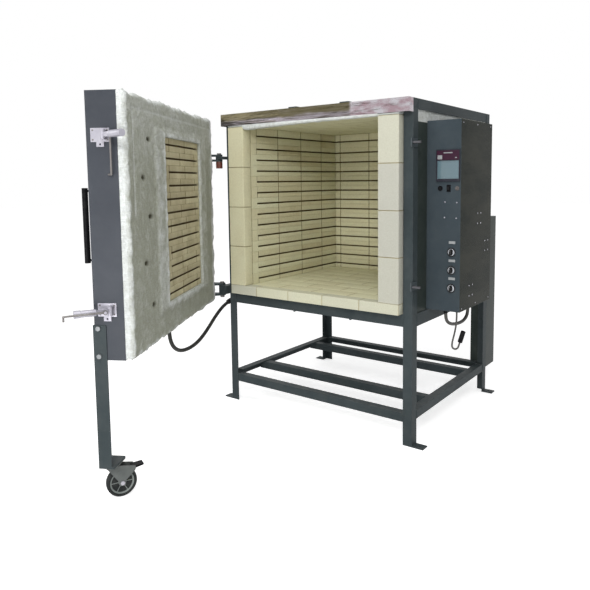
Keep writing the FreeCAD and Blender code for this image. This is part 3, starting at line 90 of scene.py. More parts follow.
EYE = (1.9307, -2.5255, 1.3264)
YAW, TILT, ROLL = (math.radians(angle) for angle in (36.25, 5.33, -0.63))
look = Vector((-math.sin(YAW) * math.cos(TILT), math.cos(YAW) * math.cos(TILT), -math.sin(TILT)))
level_right = Vector((math.cos(YAW), math.sin(YAW), 0))
level_up = level_right.cross(look)
right = level_right * math.cos(ROLL) + level_up * math.sin(ROLL)
up = level_up * math.cos(ROLL) - level_right * math.sin(ROLL)
camera_data = bpy.data.cameras.new("Camera")
camera_data.sensor_width, camera_data.lens, camera_data.clip_end = 36, 36.96, 60
camera_data.shift_x, camera_data.shift_y = -0.0249, -0.0986
camera = link_object("Camera", camera_data)
camera.matrix_world = Matrix.Translation(EYE) @ Matrix((right, up, -look)).transposed().to_4x4()
bpy.context.scene.camera = camera
print("camera height", round(camera.location.z, 3), "m")

# %% [markdown]
# Three flexible lines hang on the kiln. A thick jacketed cable loops from one gland under the control
# box to another, a thin tail with a connector hangs beside it, and a conduit runs from the stand to
# the underside of the door. Each follows one smooth NURBS curve whose control points are its route.
# A bevelled curve would do for a cable that stays still. The real conduit bends with the door, but
# here every line is swept once where it lies: points are read from each curve and a ring is swept
# along them.

# %% Points along a route
def route_line(points):
    """Points along the NURBS curve of a route, in metres."""
    data = bpy.data.curves.new("route", "CURVE")
    data.dimensions = "3D"
    spline = data.splines.new("NURBS")
    spline.points.add(len(points) - 1)
    for item, place in zip(spline.points, points):
        item.co = (*(KILN @ Vector(place)), 1)
    spline.order_u = 3
    spline.use_endpoint_u = True
    spline.resolution_u = 14
    route = link_object("route", data)
    bpy.context.view_layer.update()
    graph = bpy.context.evaluated_depsgraph_get()
    mesh = bpy.data.meshes.new_from_object(route.evaluated_get(graph))
    line = [vertex.co.copy() for vertex in mesh.vertices]
    bpy.data.meshes.remove(mesh)
    bpy.data.objects.remove(route)
    return line


LOOP = [(685, 262, 649), (685, 262, 624.2), (688.2, 277.4, 597.2), (697.4, 321.8, 578.9),
        (710.6, 385.5, 576), (719.8, 429.9, 587.7), (725, 455, 616.2), (725, 455, 649)]
TAIL = [(728, 300, 649), (728, 300, 606.1), (721, 302, 560.1), (711, 303.9, 519.9),
        (703, 303.9, 487.9), (702.1, 303.9, 463), (718.1, 303.9, 454), (734, 303.9, 463),
        (740.1, 302.9, 479.9), (745.9, 302, 498.1)]
CONDUIT = [(-414, -600, 590), (-414, -600, 562), (-419, -585, 516), (-429, -555, 480),
           (-446, -504, 452), (-470, -430, 441), (-495, -354, 445), (-519, -282, 463),
           (-545, -202, 500), (-572, -121, 545), (-598, -40, 580), (-620, 26, 594),
           (-627, 47, 597)]
loop_line, tail_line, conduit_line = (route_line(route) for route in (LOOP, TAIL, CONDUIT))
print("points read:", len(loop_line), len(tail_line), len(conduit_line))

# %% [markdown]
# Most pieces of this kiln are rings of points joined by faces: tubes, turned parts, bricks and plates.
# Blender's own operators could extrude them, but they work on a selection and need a context. One
# small loft function in bmesh does all of them. Along a tube, each ring is turned as little as
# possible from the one before it, so the tube doesn't twist.

# %% Loft and tube
def ring_points(middle, side, other, radius, sides):
    """A circle of points in the plane of two directions."""
    return [middle + (side * math.cos(turn) + other * math.sin(turn)) * radius
            for turn in (math.tau * step / sides for step in range(sides))]


def loft(shape, sections, layer=None, tone=0.0, tone_at=None):
    """Join equal rings of points into a closed solid, and return the rings."""
    rings = [[shape.verts.new(point) for point in section] for section in sections]
    for step, (one, two) in enumerate(zip(rings, rings[1:])):
        for number in range(len(one)):
            after = (number + 1) % len(one)
            face = shape.faces.new((one[number], one[after], two[after], two[number]))
            if layer:
                face[layer] = tone_at(step, number) if tone_at else tone
    for ring in (list(reversed(rings[0])), rings[-1]):
        face = shape.faces.new(ring)
        if layer:
            face[layer] = tone
    return rings


def tube_rings(line, radius, sides):
    """Rings of points across a line."""
    side = (line[1] - line[0]).orthogonal().normalized()
    rings = []
    for number, place in enumerate(line):
        before, after = line[max(number - 1, 0)], line[min(number + 1, len(line) - 1)]
        along = (after - before).normalized()
        side = (side - along * side.dot(along)).normalized()
        rings.append(ring_points(place, side, along.cross(side), radius, sides))
    return rings


def shaded_object(name, shape, angle):
    """An object from a bmesh, smooth but for edges sharper than an angle in degrees."""
    mesh = bpy.data.meshes.new(name)
    shape.to_mesh(mesh)
    shape.free()
    mesh.polygons.foreach_set("use_smooth", [True] * len(mesh.polygons))
    mesh.set_sharp_from_angle(angle=math.radians(angle))
    return link_object(name, mesh)


print("loft and tube ready")

# %% [markdown]
# A cord is a tube of a given thickness swept along its line, in place of the CAD node that it
# stands for, and its length is printed. The loop and the tail ride on the kiln, and the conduit stays
# where it is laid, one piece from the stand to the door.

def make_cord(name, node_name, line, diameter):
    """Sweep a tube along a line and let it stand for its CAD node. The diameter is in mm."""
    shape = bmesh.new()
    loft(shape, tube_rings(line, diameter / 2000, 20))
    cable = shaded_object(name, shape, 50)
    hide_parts(node_name)
    print(name, round(sum((b - a).length for a, b in zip(line, line[1:])), 3), "m")
    return cable


loop_cable = make_cord("loop_cable", "cable_loop", loop_line, 17)
tail_cable = make_cord("tail_cable", "cable_tail", tail_line, 9)
conduit = make_cord("flexible_conduit", "door_conduit", conduit_line, 20)
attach(loop_cable, "kiln")
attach(tail_cable, "kiln")
tuple(conduit_line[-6])
tuple(conduit_line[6])
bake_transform(conduit)
tuple(loop_line[0])
[tuple(place) for place in loop_line]
tuple(tail_line[0])
[tuple(place) for place in tail_line]
tuple(conduit_line[-1])
[tuple(place) for place in reversed(conduit_line)]

# %% [markdown]
# Materials are node trees, and written node by node they get long. A board is a small helper that
# places a node in one tree, links what is a socket and sets what is a value. The nodes could also be
# drawn by hand in the Shader Editor, but a script gives the same result in every run.

# %% Node board
class Board:
    """Places and links nodes in one node tree."""

    def __init__(self, tree):
        self.tree = tree

    def feed(self, inputs, values):
        """Link or set inputs by name or number."""
        for key, value in dict(values).items():
            if isinstance(value, bpy.types.NodeSocket):
                self.tree.links.new(value, inputs[key])
            else:
                inputs[key].default_value = value

    def put(self, kind, ins=(), out=0, **settings):
        """Place a node, feed its inputs, and return one of its outputs."""
        item = self.tree.nodes.new(kind)
        for key, value in settings.items():
            setattr(item, key, value)
        self.feed(item.inputs, ins)
        return item.outputs[out]

    def group(self, name, values):
        """Place a node group and return its outputs."""
        tree = bpy.data.node_groups[name]
        item = self.put("ShaderNodeGroup", node_tree=tree).node
        self.feed(item.inputs, {key: (*value, 1) if isinstance(value, tuple) else value
                                for key, value in values.items()})
        return item.outputs

    def math(self, operation, one, two=0.0, clamp=False):
        return self.put("ShaderNodeMath", {0: one, 1: two}, operation=operation, use_clamp=clamp)

    def mix(self, share, one, two):
        def colour(value):
            return value if isinstance(value, bpy.types.NodeSocket) else (*value, 1)
        return self.put("ShaderNodeMix", {0: share, 6: colour(one), 7: colour(two)}, out=2,
                        data_type="RGBA")

    def ramp(self, value, low, high, start=0.0, end=1.0):
        return self.put("ShaderNodeMapRange", {0: value, 1: low, 2: high, 3: start, 4: end})

    def place(self):
        """Position in the object's own metres, so that a pattern moves with its piece."""
        return self.put("ShaderNodeTexCoord", out=3)

    def separate(self, vector):
        return self.put("ShaderNodeSeparateXYZ", {0: vector}).node.outputs

    def noise(self, vector, scale, detail=4.0, rough=0.55):
        return self.put("ShaderNodeTexNoise", {"Vector": vector, "Scale": scale, "Detail": detail,
                                               "Roughness": rough})

    def cloud(self, vector, scale, low, high, detail=4.0, rough=0.6):
        """Noise of which only the range from low to high is kept, as 0 to 1."""
        return self.ramp(self.noise(vector, scale, detail, rough), low, high)

    def stretch(self, vector, x, y, z):
        """Scale each axis by itself: the noise after it gets long in the axis of the small number."""
        return self.put("ShaderNodeVectorMath", {0: vector, 1: (x, y, z)}, operation="MULTIPLY")


def new_material(name):
    """A material, the inputs of its Principled shader, and its board."""
    material = bpy.data.materials.new(name)
    material.use_nodes = True
    return material, material.node_tree.nodes["Principled BSDF"].inputs, Board(material.node_tree)


print("node board ready")

# %% [markdown]
# The studio is a white floor, a white world and four soft lamps. The background that a ray to the
# camera, in a mirror or through glass meets is told apart by Light Path, so it is white without more
# light on the kiln, and the floor keeps the kiln's shadow. Stronger lamps would whiten the background
# too, but then every pale surface of the kiln would clip.

# %% Studio floor and world
def seen_rays(board):
    """1 for rays that show the background: to the camera, in a mirror and through glass."""
    path = board.put("ShaderNodeLightPath").node.outputs
    total = board.math("MAXIMUM", path["Is Camera Ray"], path["Is Glossy Ray"])
    return board.math("MAXIMUM", total, path["Is Transmission Ray"])


WHITE, FLOOR_GREY, FLOOR_GLOW, SKY_LIGHT, REACH = (1, 1, 1, 1), (0.85, 0.85, 0.85, 1), 0.6, 0.52, 30
floor_mesh = bpy.data.meshes.new("studio_floor")
floor_mesh.from_pydata([(-REACH, -REACH, 0), (REACH, -REACH, 0), (REACH, REACH, 0),
                        (-REACH, REACH, 0)], [], [(0, 1, 2, 3)])
studio_floor = link_object("studio_floor", floor_mesh)
floor_paint, shader, board = new_material("studio_floor")
board.feed(shader, {"Base Color": FLOOR_GREY, "Roughness": 0.95, "Specular IOR Level": 0.0,
                    "Emission Color": WHITE,
                    "Emission Strength": board.math("MULTIPLY", seen_rays(board), FLOOR_GLOW)})
floor_mesh.materials.append(floor_paint)

world = bpy.data.worlds.new("Studio")
bpy.context.scene.world = world
world.use_nodes = True
board = Board(world.node_tree)
soft_sky, output = (world.node_tree.nodes[name] for name in ("Background", "World Output"))
board.feed(soft_sky.inputs, {"Color": WHITE, "Strength": SKY_LIGHT})
seen_sky = board.put("ShaderNodeBackground", {"Color": WHITE, "Strength": 1.0})
sky = board.put("ShaderNodeMixShader", {0: seen_rays(board), 1: soft_sky.outputs[0], 2: seen_sky})
board.feed(output.inputs, {"Surface": sky})
print("floor", 2 * REACH, "m wide, sky strength", SKY_LIGHT)

# %% [markdown]
# The key lamp stands high on the right and throws the slanting shadow into the chamber. The fill
# lightens the inner face of the door, the top lamp stands for the ceiling of a workshop, and the low
# one reaches in under the roof. Area lamps are used because a sun or a point lamp has hard shadows.

# %% Lamps
def soft_light(name, place, target, size, watts):
    """A rectangular area lamp that looks at its target."""
    data = bpy.data.lights.new(name, "AREA")
    data.shape = "RECTANGLE"
    data.size, data.size_y = size
    data.energy = watts
    lamp = link_object(name, data)
    lamp.location = place
    lamp.rotation_mode = "QUATERNION"
    lamp.rotation_quaternion = (Vector(target) - Vector(place)).to_track_quat("-Z", "Y")


soft_light("key", (2.5, -4.0, 3.5), (-0.1, 0.5, 1.1), (1.1, 1.1), 108)
soft_light("fill", (-4.0, -2.2, 2.6), (0, 0, 0.9), (2.6, 2.2), 30)
soft_light("top", (0.5, -1.5, 4.5), (0, 0.3, 0.7), (2.2, 2.2), 54)
soft_light("low", (0.7, -3.6, 0.5), (0, 0.8, 1.45), (1.2, 0.8), 34)
bpy.context.scene.view_settings.view_transform = "Standard"
print("lamps:", len(bpy.data.lights))

# %% [markdown]
# Folded sheet, angle iron and cast parts all have slightly rounded corners, and paint is thinnest
# there. A Bevel modifier would change the CAD mesh. The Bevel node only rounds the normal, and the
# difference from the flat normal is a mask of the corners, which noise breaks up into wear. It is a
# node group, because every finish of the kiln uses it with its own radius.

# %% Group: rounded edges and wear
FLOAT, COLOUR, VECTOR = "NodeSocketFloat", "NodeSocketColor", "NodeSocketVector"
SURFACE = [("Colour", COLOUR), ("Roughness", FLOAT), ("Height", FLOAT)]


def make_group(name, inputs, outputs=SURFACE):
    """A node group: its board, the sockets that come in and those that go out."""
    tree = bpy.data.node_groups.new(name, "ShaderNodeTree")
    for label, kind, value in inputs:
        socket = tree.interface.new_socket(label, in_out="INPUT", socket_type=kind)
        socket.default_value = value
    for label, kind in outputs:
        tree.interface.new_socket(label, in_out="OUTPUT", socket_type=kind)
    start, end = tree.nodes.new("NodeGroupInput"), tree.nodes.new("NodeGroupOutput")
    return Board(tree), start.outputs, end.inputs


edge, edge_in, edge_out = make_group("rounded_edges", [("Radius", FLOAT, 0.002), ("Wear", FLOAT, 0.5)],
                                     [("Normal", VECTOR), ("Mask", FLOAT)])
round_normal = edge.put("ShaderNodeBevel", {"Radius": edge_in["Radius"]}, samples=6)
flat_normal = edge.put("ShaderNodeNewGeometry", out=1)
same = edge.put("ShaderNodeVectorMath", {0: round_normal, 1: flat_normal}, out=1,
                operation="DOT_PRODUCT")
corner = edge.ramp(same, 0.995, 0.80)
broken = edge.cloud(edge.place(), 38.0, 0.42, 0.62, 5.0, 0.65)
worn = edge.math("MULTIPLY", edge.math("MULTIPLY", corner, broken), edge_in["Wear"], clamp=True)
edge.feed(edge_out, {"Normal": round_normal, "Mask": worn})
print("sockets:", [item.name for item in edge.tree.interface.items_tree])

# %% [markdown]
# Powder coat on the steel is satin with a very fine orange peel, and a kiln in a workshop has a thin
# uneven film of clay dust that lightens level faces and dulls the shine. Two layered shaders could
# make the film. One colour and one roughness that both follow it look the same and bake well.

# %% Group: powder coat
DUST_COLOUR, DUST_DULLS = (0.52, 0.50, 0.46), 0.5
coat, coat_in, coat_out = make_group(
    "powder_coat", [("Paint", COLOUR, (0.1, 0.1, 0.1, 1)), ("Shade", COLOUR, (0.08, 0.08, 0.08, 1)),
                    ("Dust", FLOAT, 0.2), ("Roughness", FLOAT, 0.45)])
where = coat.place()
base = coat.mix(coat.cloud(where, 2.3, 0.35, 0.68, 5.0), coat_in["Paint"], coat_in["Shade"])
upward = coat.separate(coat.put("ShaderNodeNewGeometry", out=1))[2]
film = coat.math("MULTIPLY", coat.ramp(upward, 0.1, 0.9, 0.25, 1.0),
                 coat.cloud(where, 11.0, 0.42, 0.75, 6.0, 0.7))
film = coat.math("MULTIPLY", film, coat_in["Dust"], clamp=True)
dull = coat.math("ADD", coat_in["Roughness"], coat.math("MULTIPLY", film, DUST_DULLS), clamp=True)
coat.feed(coat_out, {"Colour": coat.mix(film, base, DUST_COLOUR), "Roughness": dull,
                     "Height": coat.noise(where, 900.0, 2.0, 0.5)})
print("powder coat: clouds, dust film and orange peel")

# %% [markdown]
# Insulating firebrick is a pale cream foam of clay. Each brick has its own tone, the skin is full of
# small open pores, and heat and smoke darken the grooves and the joints. A material for each brick
# would need hundreds. Here the tone of a brick is stored on its faces as an attribute, so one group
# serves them all: below 0 it whitens, for bleached brick and for painted light on the sill, from 0 to
# 1 it deepens, and above 2 it turns to soot.

# %% Group: firebrick
brick, brick_in, brick_out = make_group(
    "fired_brick", [("Pale", COLOUR, (0.6, 0.56, 0.42, 1)), ("Deep", COLOUR, (0.5, 0.45, 0.32, 1)),
                    ("White", COLOUR, (0.43, 0.43, 0.39, 1)),
                    ("Soot", COLOUR, (0.165, 0.125, 0.065, 1)), ("Pore Size", FLOAT, 260.0)])
where = brick.place()
tone = brick.put("ShaderNodeAttribute", out=2, attribute_name="brick_tone")
cloud = brick.cloud(where, 9.0, 0.3, 0.72, 6.0, 0.62)
share = brick.math("ADD", brick.math("MULTIPLY", tone, 0.62), brick.math("MULTIPLY", cloud, 0.38))
share = brick.put("ShaderNodeClamp", {0: share, 1: 0.0, 2: 1.5})
clay = brick.mix(brick.math("MINIMUM", share, 1.0), brick_in["Pale"], brick_in["Deep"])
clay = brick.mix(brick.math("SUBTRACT", share, 0.75, clamp=True), clay, brick_in["Soot"])
clay = brick.mix(brick.math("MULTIPLY", tone, -1.0, clamp=True), clay, brick_in["White"])
clay = brick.mix(brick.math("SUBTRACT", tone, 2.0, clamp=True), clay, brick_in["Soot"])
pores = brick.put("ShaderNodeTexVoronoi", {"Vector": where, "Scale": brick_in["Pore Size"],
                                           "Randomness": 1.0})
specks = brick.cloud(where, 120.0, 0.35, 0.6, 3.0, 0.7)
skin = brick.math("MULTIPLY", brick.ramp(pores, 0.12, 0.34),
                  brick.math("ADD", brick.math("MULTIPLY", specks, 0.5), 0.5))
PORE_COLOUR = (0.23, 0.19, 0.12)
brick.feed(brick_out, {"Colour": brick.mix(brick.ramp(skin, 0.0, 1.0, 0.28, 0.0), clay, PORE_COLOUR),
                       "Roughness": brick.ramp(cloud, 0.0, 1.0, 0.86, 0.97), "Height": skin})
print("firebrick: tones, clouds and pores")

# %% [markdown]
# Ceramic fibre looks like felt. Its cut edges are bright and loose, its faces are pressed and a
# little grey. Real strands would need a particle system with a very long render. Noise stretched in
# two directions gives the matted strands, and an attribute on the points says where it is bright,
# or, below 0, where the pit of an anchor gets painted shade.

# %% Group: ceramic fibre
PIT_SHADE_COLOUR, STRAND_COLOUR = (0.07, 0.065, 0.045), (0.16, 0.15, 0.12)
fibre, fibre_in, fibre_out = make_group(
    "fibre_felt", [("Edge", COLOUR, (0.7, 0.73, 0.75, 1)), ("Face", COLOUR, (0.34, 0.35, 0.3, 1))])
where = fibre.place()
tone_and_pit_shade = fibre.put("ShaderNodeAttribute", out=2, attribute_name="fibre_tone")
one = fibre.noise(fibre.stretch(where, 40.0, 40.0, 260.0), 1.0, 5.0, 0.7)
two = fibre.noise(fibre.stretch(where, 240.0, 240.0, 36.0), 1.0, 5.0, 0.7)
strands = fibre.math("MULTIPLY", fibre.math("ADD", one, two), 0.5)
cloud = fibre.cloud(where, 13.0, 0.3, 0.7, 8.0, 0.72)
tuft = fibre.noise(where, 55.0, 5.0, 0.65)
mottle = fibre.math("ADD", fibre.math("MULTIPLY", fibre.math("SUBTRACT", cloud, 0.5), 0.42),
                    fibre.math("MULTIPLY", fibre.math("SUBTRACT", tuft, 0.5), 1.1))
felt = fibre.mix(fibre.math("ADD", tone_and_pit_shade, mottle, clamp=True), fibre_in["Face"], fibre_in["Edge"])
# Below 0 the tone turns into painted shade in the pits of the anchors.
felt = fibre.mix(fibre.math("MULTIPLY", tone_and_pit_shade, -1.3, clamp=True), felt, PIT_SHADE_COLOUR)
felt = fibre.mix(fibre.ramp(strands, 0.36, 0.60, 0.30, 0.0), felt, STRAND_COLOUR)
lumps = fibre.math("ADD", tuft, fibre.math("MULTIPLY", strands, 0.5))
fibre.feed(fibre_out, {"Colour": felt, "Roughness": fibre.ramp(strands, 0.3, 0.7, 1.0, 0.9),
                       "Height": lumps})
print("fibre: strands, tufts and holes")

# %% [markdown]
# Rolled and plated metal shows fine lines in one direction and faint clouds of oxide. Rubber and
# plastic have a fine matt grain, and rubbed places are paler. The anisotropic socket could make the
# lines too, but stretched noise also breaks up the colour, as real oxide does.

# %% Groups: rolled metal and moulded skin
metal, metal_in, metal_out = make_group(
    "rolled_metal", [("Light", COLOUR, (0.6, 0.6, 0.6, 1)), ("Dark", COLOUR, (0.4, 0.4, 0.4, 1)),
                     ("Roughness", FLOAT, 0.3), ("Lines", FLOAT, 0.5)])
where = metal.place()
cloud = metal.cloud(where, 14.0, 0.3, 0.7, 6.0)
lines = metal.noise(metal.stretch(where, 30.0, 30.0, 1400.0), 1.0, 3.0, 0.6)
dull = metal.math("MULTIPLY", metal.math("ADD", cloud, lines), 0.09)
metal.feed(metal_out, {"Colour": metal.mix(cloud, metal_in["Light"], metal_in["Dark"]),
                       "Roughness": metal.math("ADD", metal_in["Roughness"], dull, clamp=True),
                       "Height": metal.math("MULTIPLY", lines, metal_in["Lines"])})

skin, skin_in, skin_out = make_group(
    "moulded_skin", [("Base", COLOUR, (0.02, 0.02, 0.02, 1)), ("Scuff", COLOUR, (0.1, 0.1, 0.1, 1)),
                     ("Roughness", FLOAT, 0.5), ("Grain", FLOAT, 900.0)])
where = skin.place()
rub = skin.cloud(where, 22.0, 0.5, 0.8, 6.0, 0.7)
dull = skin.math("ADD", skin_in["Roughness"], skin.math("MULTIPLY", rub, 0.2), clamp=True)
skin.feed(skin_out, {"Colour": skin.mix(rub, skin_in["Base"], skin_in["Scuff"]), "Roughness": dull,
                     "Height": skin.noise(where, skin_in["Grain"], 2.0, 0.5)})
print("node groups:", len(bpy.data.node_groups))

# %% [markdown]
# A finish is one material. It places its surface group, adds rounded edges, and feeds both into one
# Principled shader through a Bump node. Its gloss, the specular level, is a plain number, and it is
# low on the paints: at a grazing angle they would otherwise mirror the white studio, where the real
# kiln stands in a dark room.

# %% Finish helper and paints
PAINT = {}


def finish(slot, surface, values, metallic=0.0, height=0.0002, radius=0.0015, wear=0.0,
           bare=(0.3, 0.3, 0.3), strength=0.6, gloss=0.5):
    """One material: a surface group, rounded edges with wear, and a bump."""
    PAINT[slot], shader, board = new_material(slot)
    body = board.group(surface, values)
    rounded = board.group("rounded_edges", {"Radius": radius, "Wear": wear})
    bump = board.put("ShaderNodeBump", {"Strength": strength, "Distance": height,
                                        "Height": body["Height"], "Normal": rounded["Normal"]})
    colour = board.mix(rounded["Mask"], body["Colour"], bare) if wear else body["Colour"]
    board.feed(shader, {"Base Color": colour, "Roughness": body["Roughness"], "Normal": bump,
                        "Metallic": metallic, "Specular IOR Level": gloss})


finish("frame_paint", "powder_coat", {"Paint": (0.045, 0.057, 0.061), "Shade": (0.033, 0.043, 0.046),
       "Dust": 0.12, "Roughness": 0.42}, gloss=0.06, wear=0.55, bare=(0.20, 0.21, 0.22), radius=0.002)
finish("door_paint", "powder_coat", {"Paint": (0.056, 0.062, 0.074), "Shade": (0.045, 0.050, 0.060),
       "Dust": 0.08, "Roughness": 0.42}, gloss=0.12, wear=0.5, bare=(0.28, 0.28, 0.30), radius=0.0025)
# The side panels' paint is darker than the frame's: partly its own colour, partly painted shade on the
# sides of the kiln.
finish("panel_paint", "powder_coat", {"Paint": (0.032, 0.042, 0.038), "Shade": (0.026, 0.034, 0.031),
       "Dust": 0.12, "Roughness": 0.36}, gloss=0.08, wear=0.4, bare=(0.2, 0.2, 0.2))
finish("box_paint", "powder_coat", {"Paint": (0.055, 0.070, 0.080), "Shade": (0.045, 0.058, 0.066),
       "Dust": 0.10, "Roughness": 0.36}, gloss=0.06, wear=0.45, bare=(0.22, 0.22, 0.22), radius=0.002)
print("paints:", ", ".join(PAINT))

# %% [markdown]
# The metals range from bright galvanised sheet to dark drawn steel. The zinc on the latches could be
# fully metallic, but it would then mirror the white studio, where the real one hangs in a darker
# room, so it is only partly so. The coils in the grooves are brown with oxide.

# %% Metal finishes
for slot, light, dark, roughness, lines, more in (
        ("galvanised_sheet", (0.56, 0.57, 0.57), (0.42, 0.43, 0.44), 0.34, 0.5, {"metallic": 1.0}),
        ("zinc_plate", (0.45, 0.44, 0.485), (0.32, 0.31, 0.36), 0.30, 0.2,
         {"metallic": 0.35, "radius": 0.001}),
        ("pin_steel", (0.22, 0.21, 0.20), (0.13, 0.12, 0.12), 0.38, 0.5,
         {"metallic": 0.9, "radius": 0.0012}),
        ("switch_metal", (0.40, 0.41, 0.44), (0.28, 0.29, 0.31), 0.22, 0.5,
         {"metallic": 1.0, "radius": 0.0006}),
        ("element_wire", (0.20, 0.145, 0.075), (0.10, 0.07, 0.035), 0.6, 0.5, {"metallic": 0.2}),
        ("dull_steel", (0.125, 0.135, 0.130), (0.075, 0.083, 0.080), 0.42, 0.2,
         {"metallic": 0.35, "radius": 0.001}),
        ("bolt_steel", (0.24, 0.25, 0.26), (0.15, 0.16, 0.165), 0.36, 0.2,
         {"metallic": 0.35, "radius": 0.001})):
    finish(slot, "rolled_metal", {"Light": light, "Dark": dark, "Roughness": roughness,
                                  "Lines": lines}, **more)
print("finishes so far:", len(PAINT))

# %% [markdown]
# Brick and fibre have the deepest relief of the kiln, so their bumps are strong and their gloss is
# low. Plastic, rubber and cable jackets share the moulded skin and differ in colour, gloss and grain.

# %% Brick, fibre, plastic and rubber
finish("firebrick", "fired_brick", {"Pale": (0.69, 0.685, 0.485), "Deep": (0.60, 0.545, 0.355)},
       height=0.0009, strength=0.7, gloss=0.15)
finish("ceramic_fibre", "fibre_felt", {"Edge": (0.78, 0.81, 0.80), "Face": (0.40, 0.415, 0.345)},
       height=0.010, strength=1.0, gloss=0.1)
for slot, base, scuff, roughness, grain, more in (
        ("ceramic_sheath", (0.62, 0.58, 0.50), (0.45, 0.42, 0.36), 0.55, 900.0, {}),
        ("controller_face", (0.018, 0.018, 0.026), (0.04, 0.04, 0.05), 0.38, 900.0,
         {"gloss": 0.2, "radius": 0.003}),
        ("black_plastic", (0.006, 0.006, 0.007), (0.02, 0.02, 0.02), 0.36, 900.0, {"gloss": 0.06}),
        ("knob_plastic", (0.010, 0.010, 0.010), (0.02, 0.02, 0.02), 0.30, 900.0,
         {"gloss": 0.15, "radius": 0.001}),
        ("cable_jacket", (0.022, 0.022, 0.020), (0.05, 0.05, 0.045), 0.48, 500.0, {"gloss": 0.25}),
        ("grey_jacket", (0.060, 0.058, 0.052), (0.13, 0.125, 0.115), 0.40, 500.0, {"gloss": 0.4}),
        ("hub_plastic", (0.17, 0.19, 0.18), (0.25, 0.27, 0.26), 0.5, 900.0, {"gloss": 0.2}),
        ("tyre_rubber", (0.016, 0.018, 0.018), (0.05, 0.052, 0.05), 0.75, 380.0, {"gloss": 0.15})):
    finish(slot, "moulded_skin", {"Base": base, "Scuff": scuff, "Roughness": roughness,
                                  "Grain": grain}, **more)
print("finishes so far:", len(PAINT))

# %% [markdown]
# The mirror trim shows the room it hangs in: olive brown above, lilac grey below, and a pale pink
# end. The studio is white, so a plain mirror would be white too. These reflections are painted into
# the sheet's colour, told apart by height and by the place along the sheet, with painted highlight
# streaks and a darker painted reflection at the left end. Long slow waves in the normal bend the
# reflections.

# %% Mirror trim
SPLIT_LOW, SPLIT_HIGH, END_START, END_DONE = 1.664, 1.674, 0.285, 0.300
LILAC_REFLECTION = ((0.17, 0.145, 0.14), (0.33, 0.30, 0.33))
PINK_REFLECTION = ((0.36, 0.26, 0.29), (0.52, 0.50, 0.53))
OLIVE_REFLECTION, STREAK_HIGHLIGHT, LEFT_END_REFLECTION = (0.125, 0.108, 0.060), (0.34, 0.31, 0.30), (0.05, 0.043, 0.026)
PAINT["mirror_steel"], shader, board = new_material("mirror_steel")
where = board.place()
along, _, level = board.separate(where)
wave = board.noise(board.stretch(where, 5.0, 5.0, 26.0), 1.0, 3.0, 0.5)
level = board.math("ADD", level, board.math("MULTIPLY", board.math("SUBTRACT", wave, 0.5), 0.045))
lilac = board.mix(board.cloud(board.stretch(where, 9.0, 9.0, 120.0), 1.0, 0.4, 0.6), *LILAC_REFLECTION)
streak_highlight = board.cloud(board.stretch(where, 7.0, 7.0, 110.0), 1.0, 0.52, 0.68)
pink = board.mix(board.cloud(board.stretch(where, 12.0, 12.0, 30.0), 1.0, 0.40, 0.62), *PINK_REFLECTION)
# The colours mixed here are painted reflections, and the streaks are painted highlights.
painted_reflection = board.mix(board.ramp(level, SPLIT_LOW, SPLIT_HIGH), lilac, OLIVE_REFLECTION)
painted_reflection = board.mix(board.math("MULTIPLY", streak_highlight, 0.22), painted_reflection, STREAK_HIGHLIGHT)
painted_reflection = board.mix(board.ramp(along, -0.62, -0.25, 0.5, 0.0), painted_reflection, LEFT_END_REFLECTION)
painted_reflection = board.mix(board.ramp(along, END_START, END_DONE), painted_reflection, pink)
bend = board.put("ShaderNodeBump", {"Strength": 0.5, "Distance": 0.012, "Height": wave})
board.feed(shader, {"Metallic": 0.85, "Base Color": painted_reflection, "Normal": bend,
                    "Roughness": board.ramp(wave, 0.3, 0.7, 0.12, 0.24)})
print("trim tinted from z =", SPLIT_LOW, "m up")

# %% [markdown]
# The controller's screen is lit and shows a grid of pale cells. An image could be put on it, but the
# Brick Texture draws such a grid with none. The lamp's lens, the label plates, the controller's header
# and the hinge cap are small and plain, and one helper gives each a colour that wanders between two
# tones.

# %% Screen, lens and labels
def mottled(name, scale, one, two, roughness, gloss=0.5):
    """A finish with no bump, whose colour wanders between two tones."""
    PAINT[name], shader, board = new_material(name)
    board.feed(shader, {"Base Color": board.mix(board.noise(board.place(), scale), one, two),
                        "Roughness": roughness, "Specular IOR Level": gloss})


mottled("lamp_lens", 220.0, (0.075, 0.066, 0.064), (0.13, 0.115, 0.11), 0.18)
mottled("label_plate", 160.0, (0.21, 0.225, 0.23), (0.30, 0.31, 0.315), 0.4)
mottled("controller_header", 60.0, (0.024, 0.006, 0.017), (0.042, 0.012, 0.028), 0.32, 0.2)
mottled("hinge_cap", 70.0, (0.10, 0.022, 0.014), (0.16, 0.045, 0.028), 0.5)

PAINT["screen_glass"], shader, board = new_material("screen_glass")
upright = board.put("ShaderNodeMapping", {0: board.place(), 2: (math.radians(90), 0, 0)})
cells = board.put("ShaderNodeTexBrick", {
    "Vector": upright, "Scale": 34.0, "Mortar Size": 0.03, "Color1": (0.10, 0.165, 0.195, 1),
    "Color2": (0.092, 0.152, 0.19, 1), "Mortar": (0.06, 0.105, 0.13, 1)})
haze = board.mix(board.noise(board.place(), 9.0), cells, (0.12, 0.18, 0.20))
board.feed(shader, {"Base Color": haze, "Roughness": 0.12, "Coat Weight": 0.6})
print("finishes so far:", len(PAINT))

# %% [markdown]
# The side of the control box is a glossier sheet than its front, and its colour is darker: painted
# shade. Both are one CAD solid, and cutting it in two would change the model, so one material tells
# them apart by the direction that a face looks in the model. The same idea splits the keeper pegs
# from their plates: pegs are bare steel and stand further out to the right.

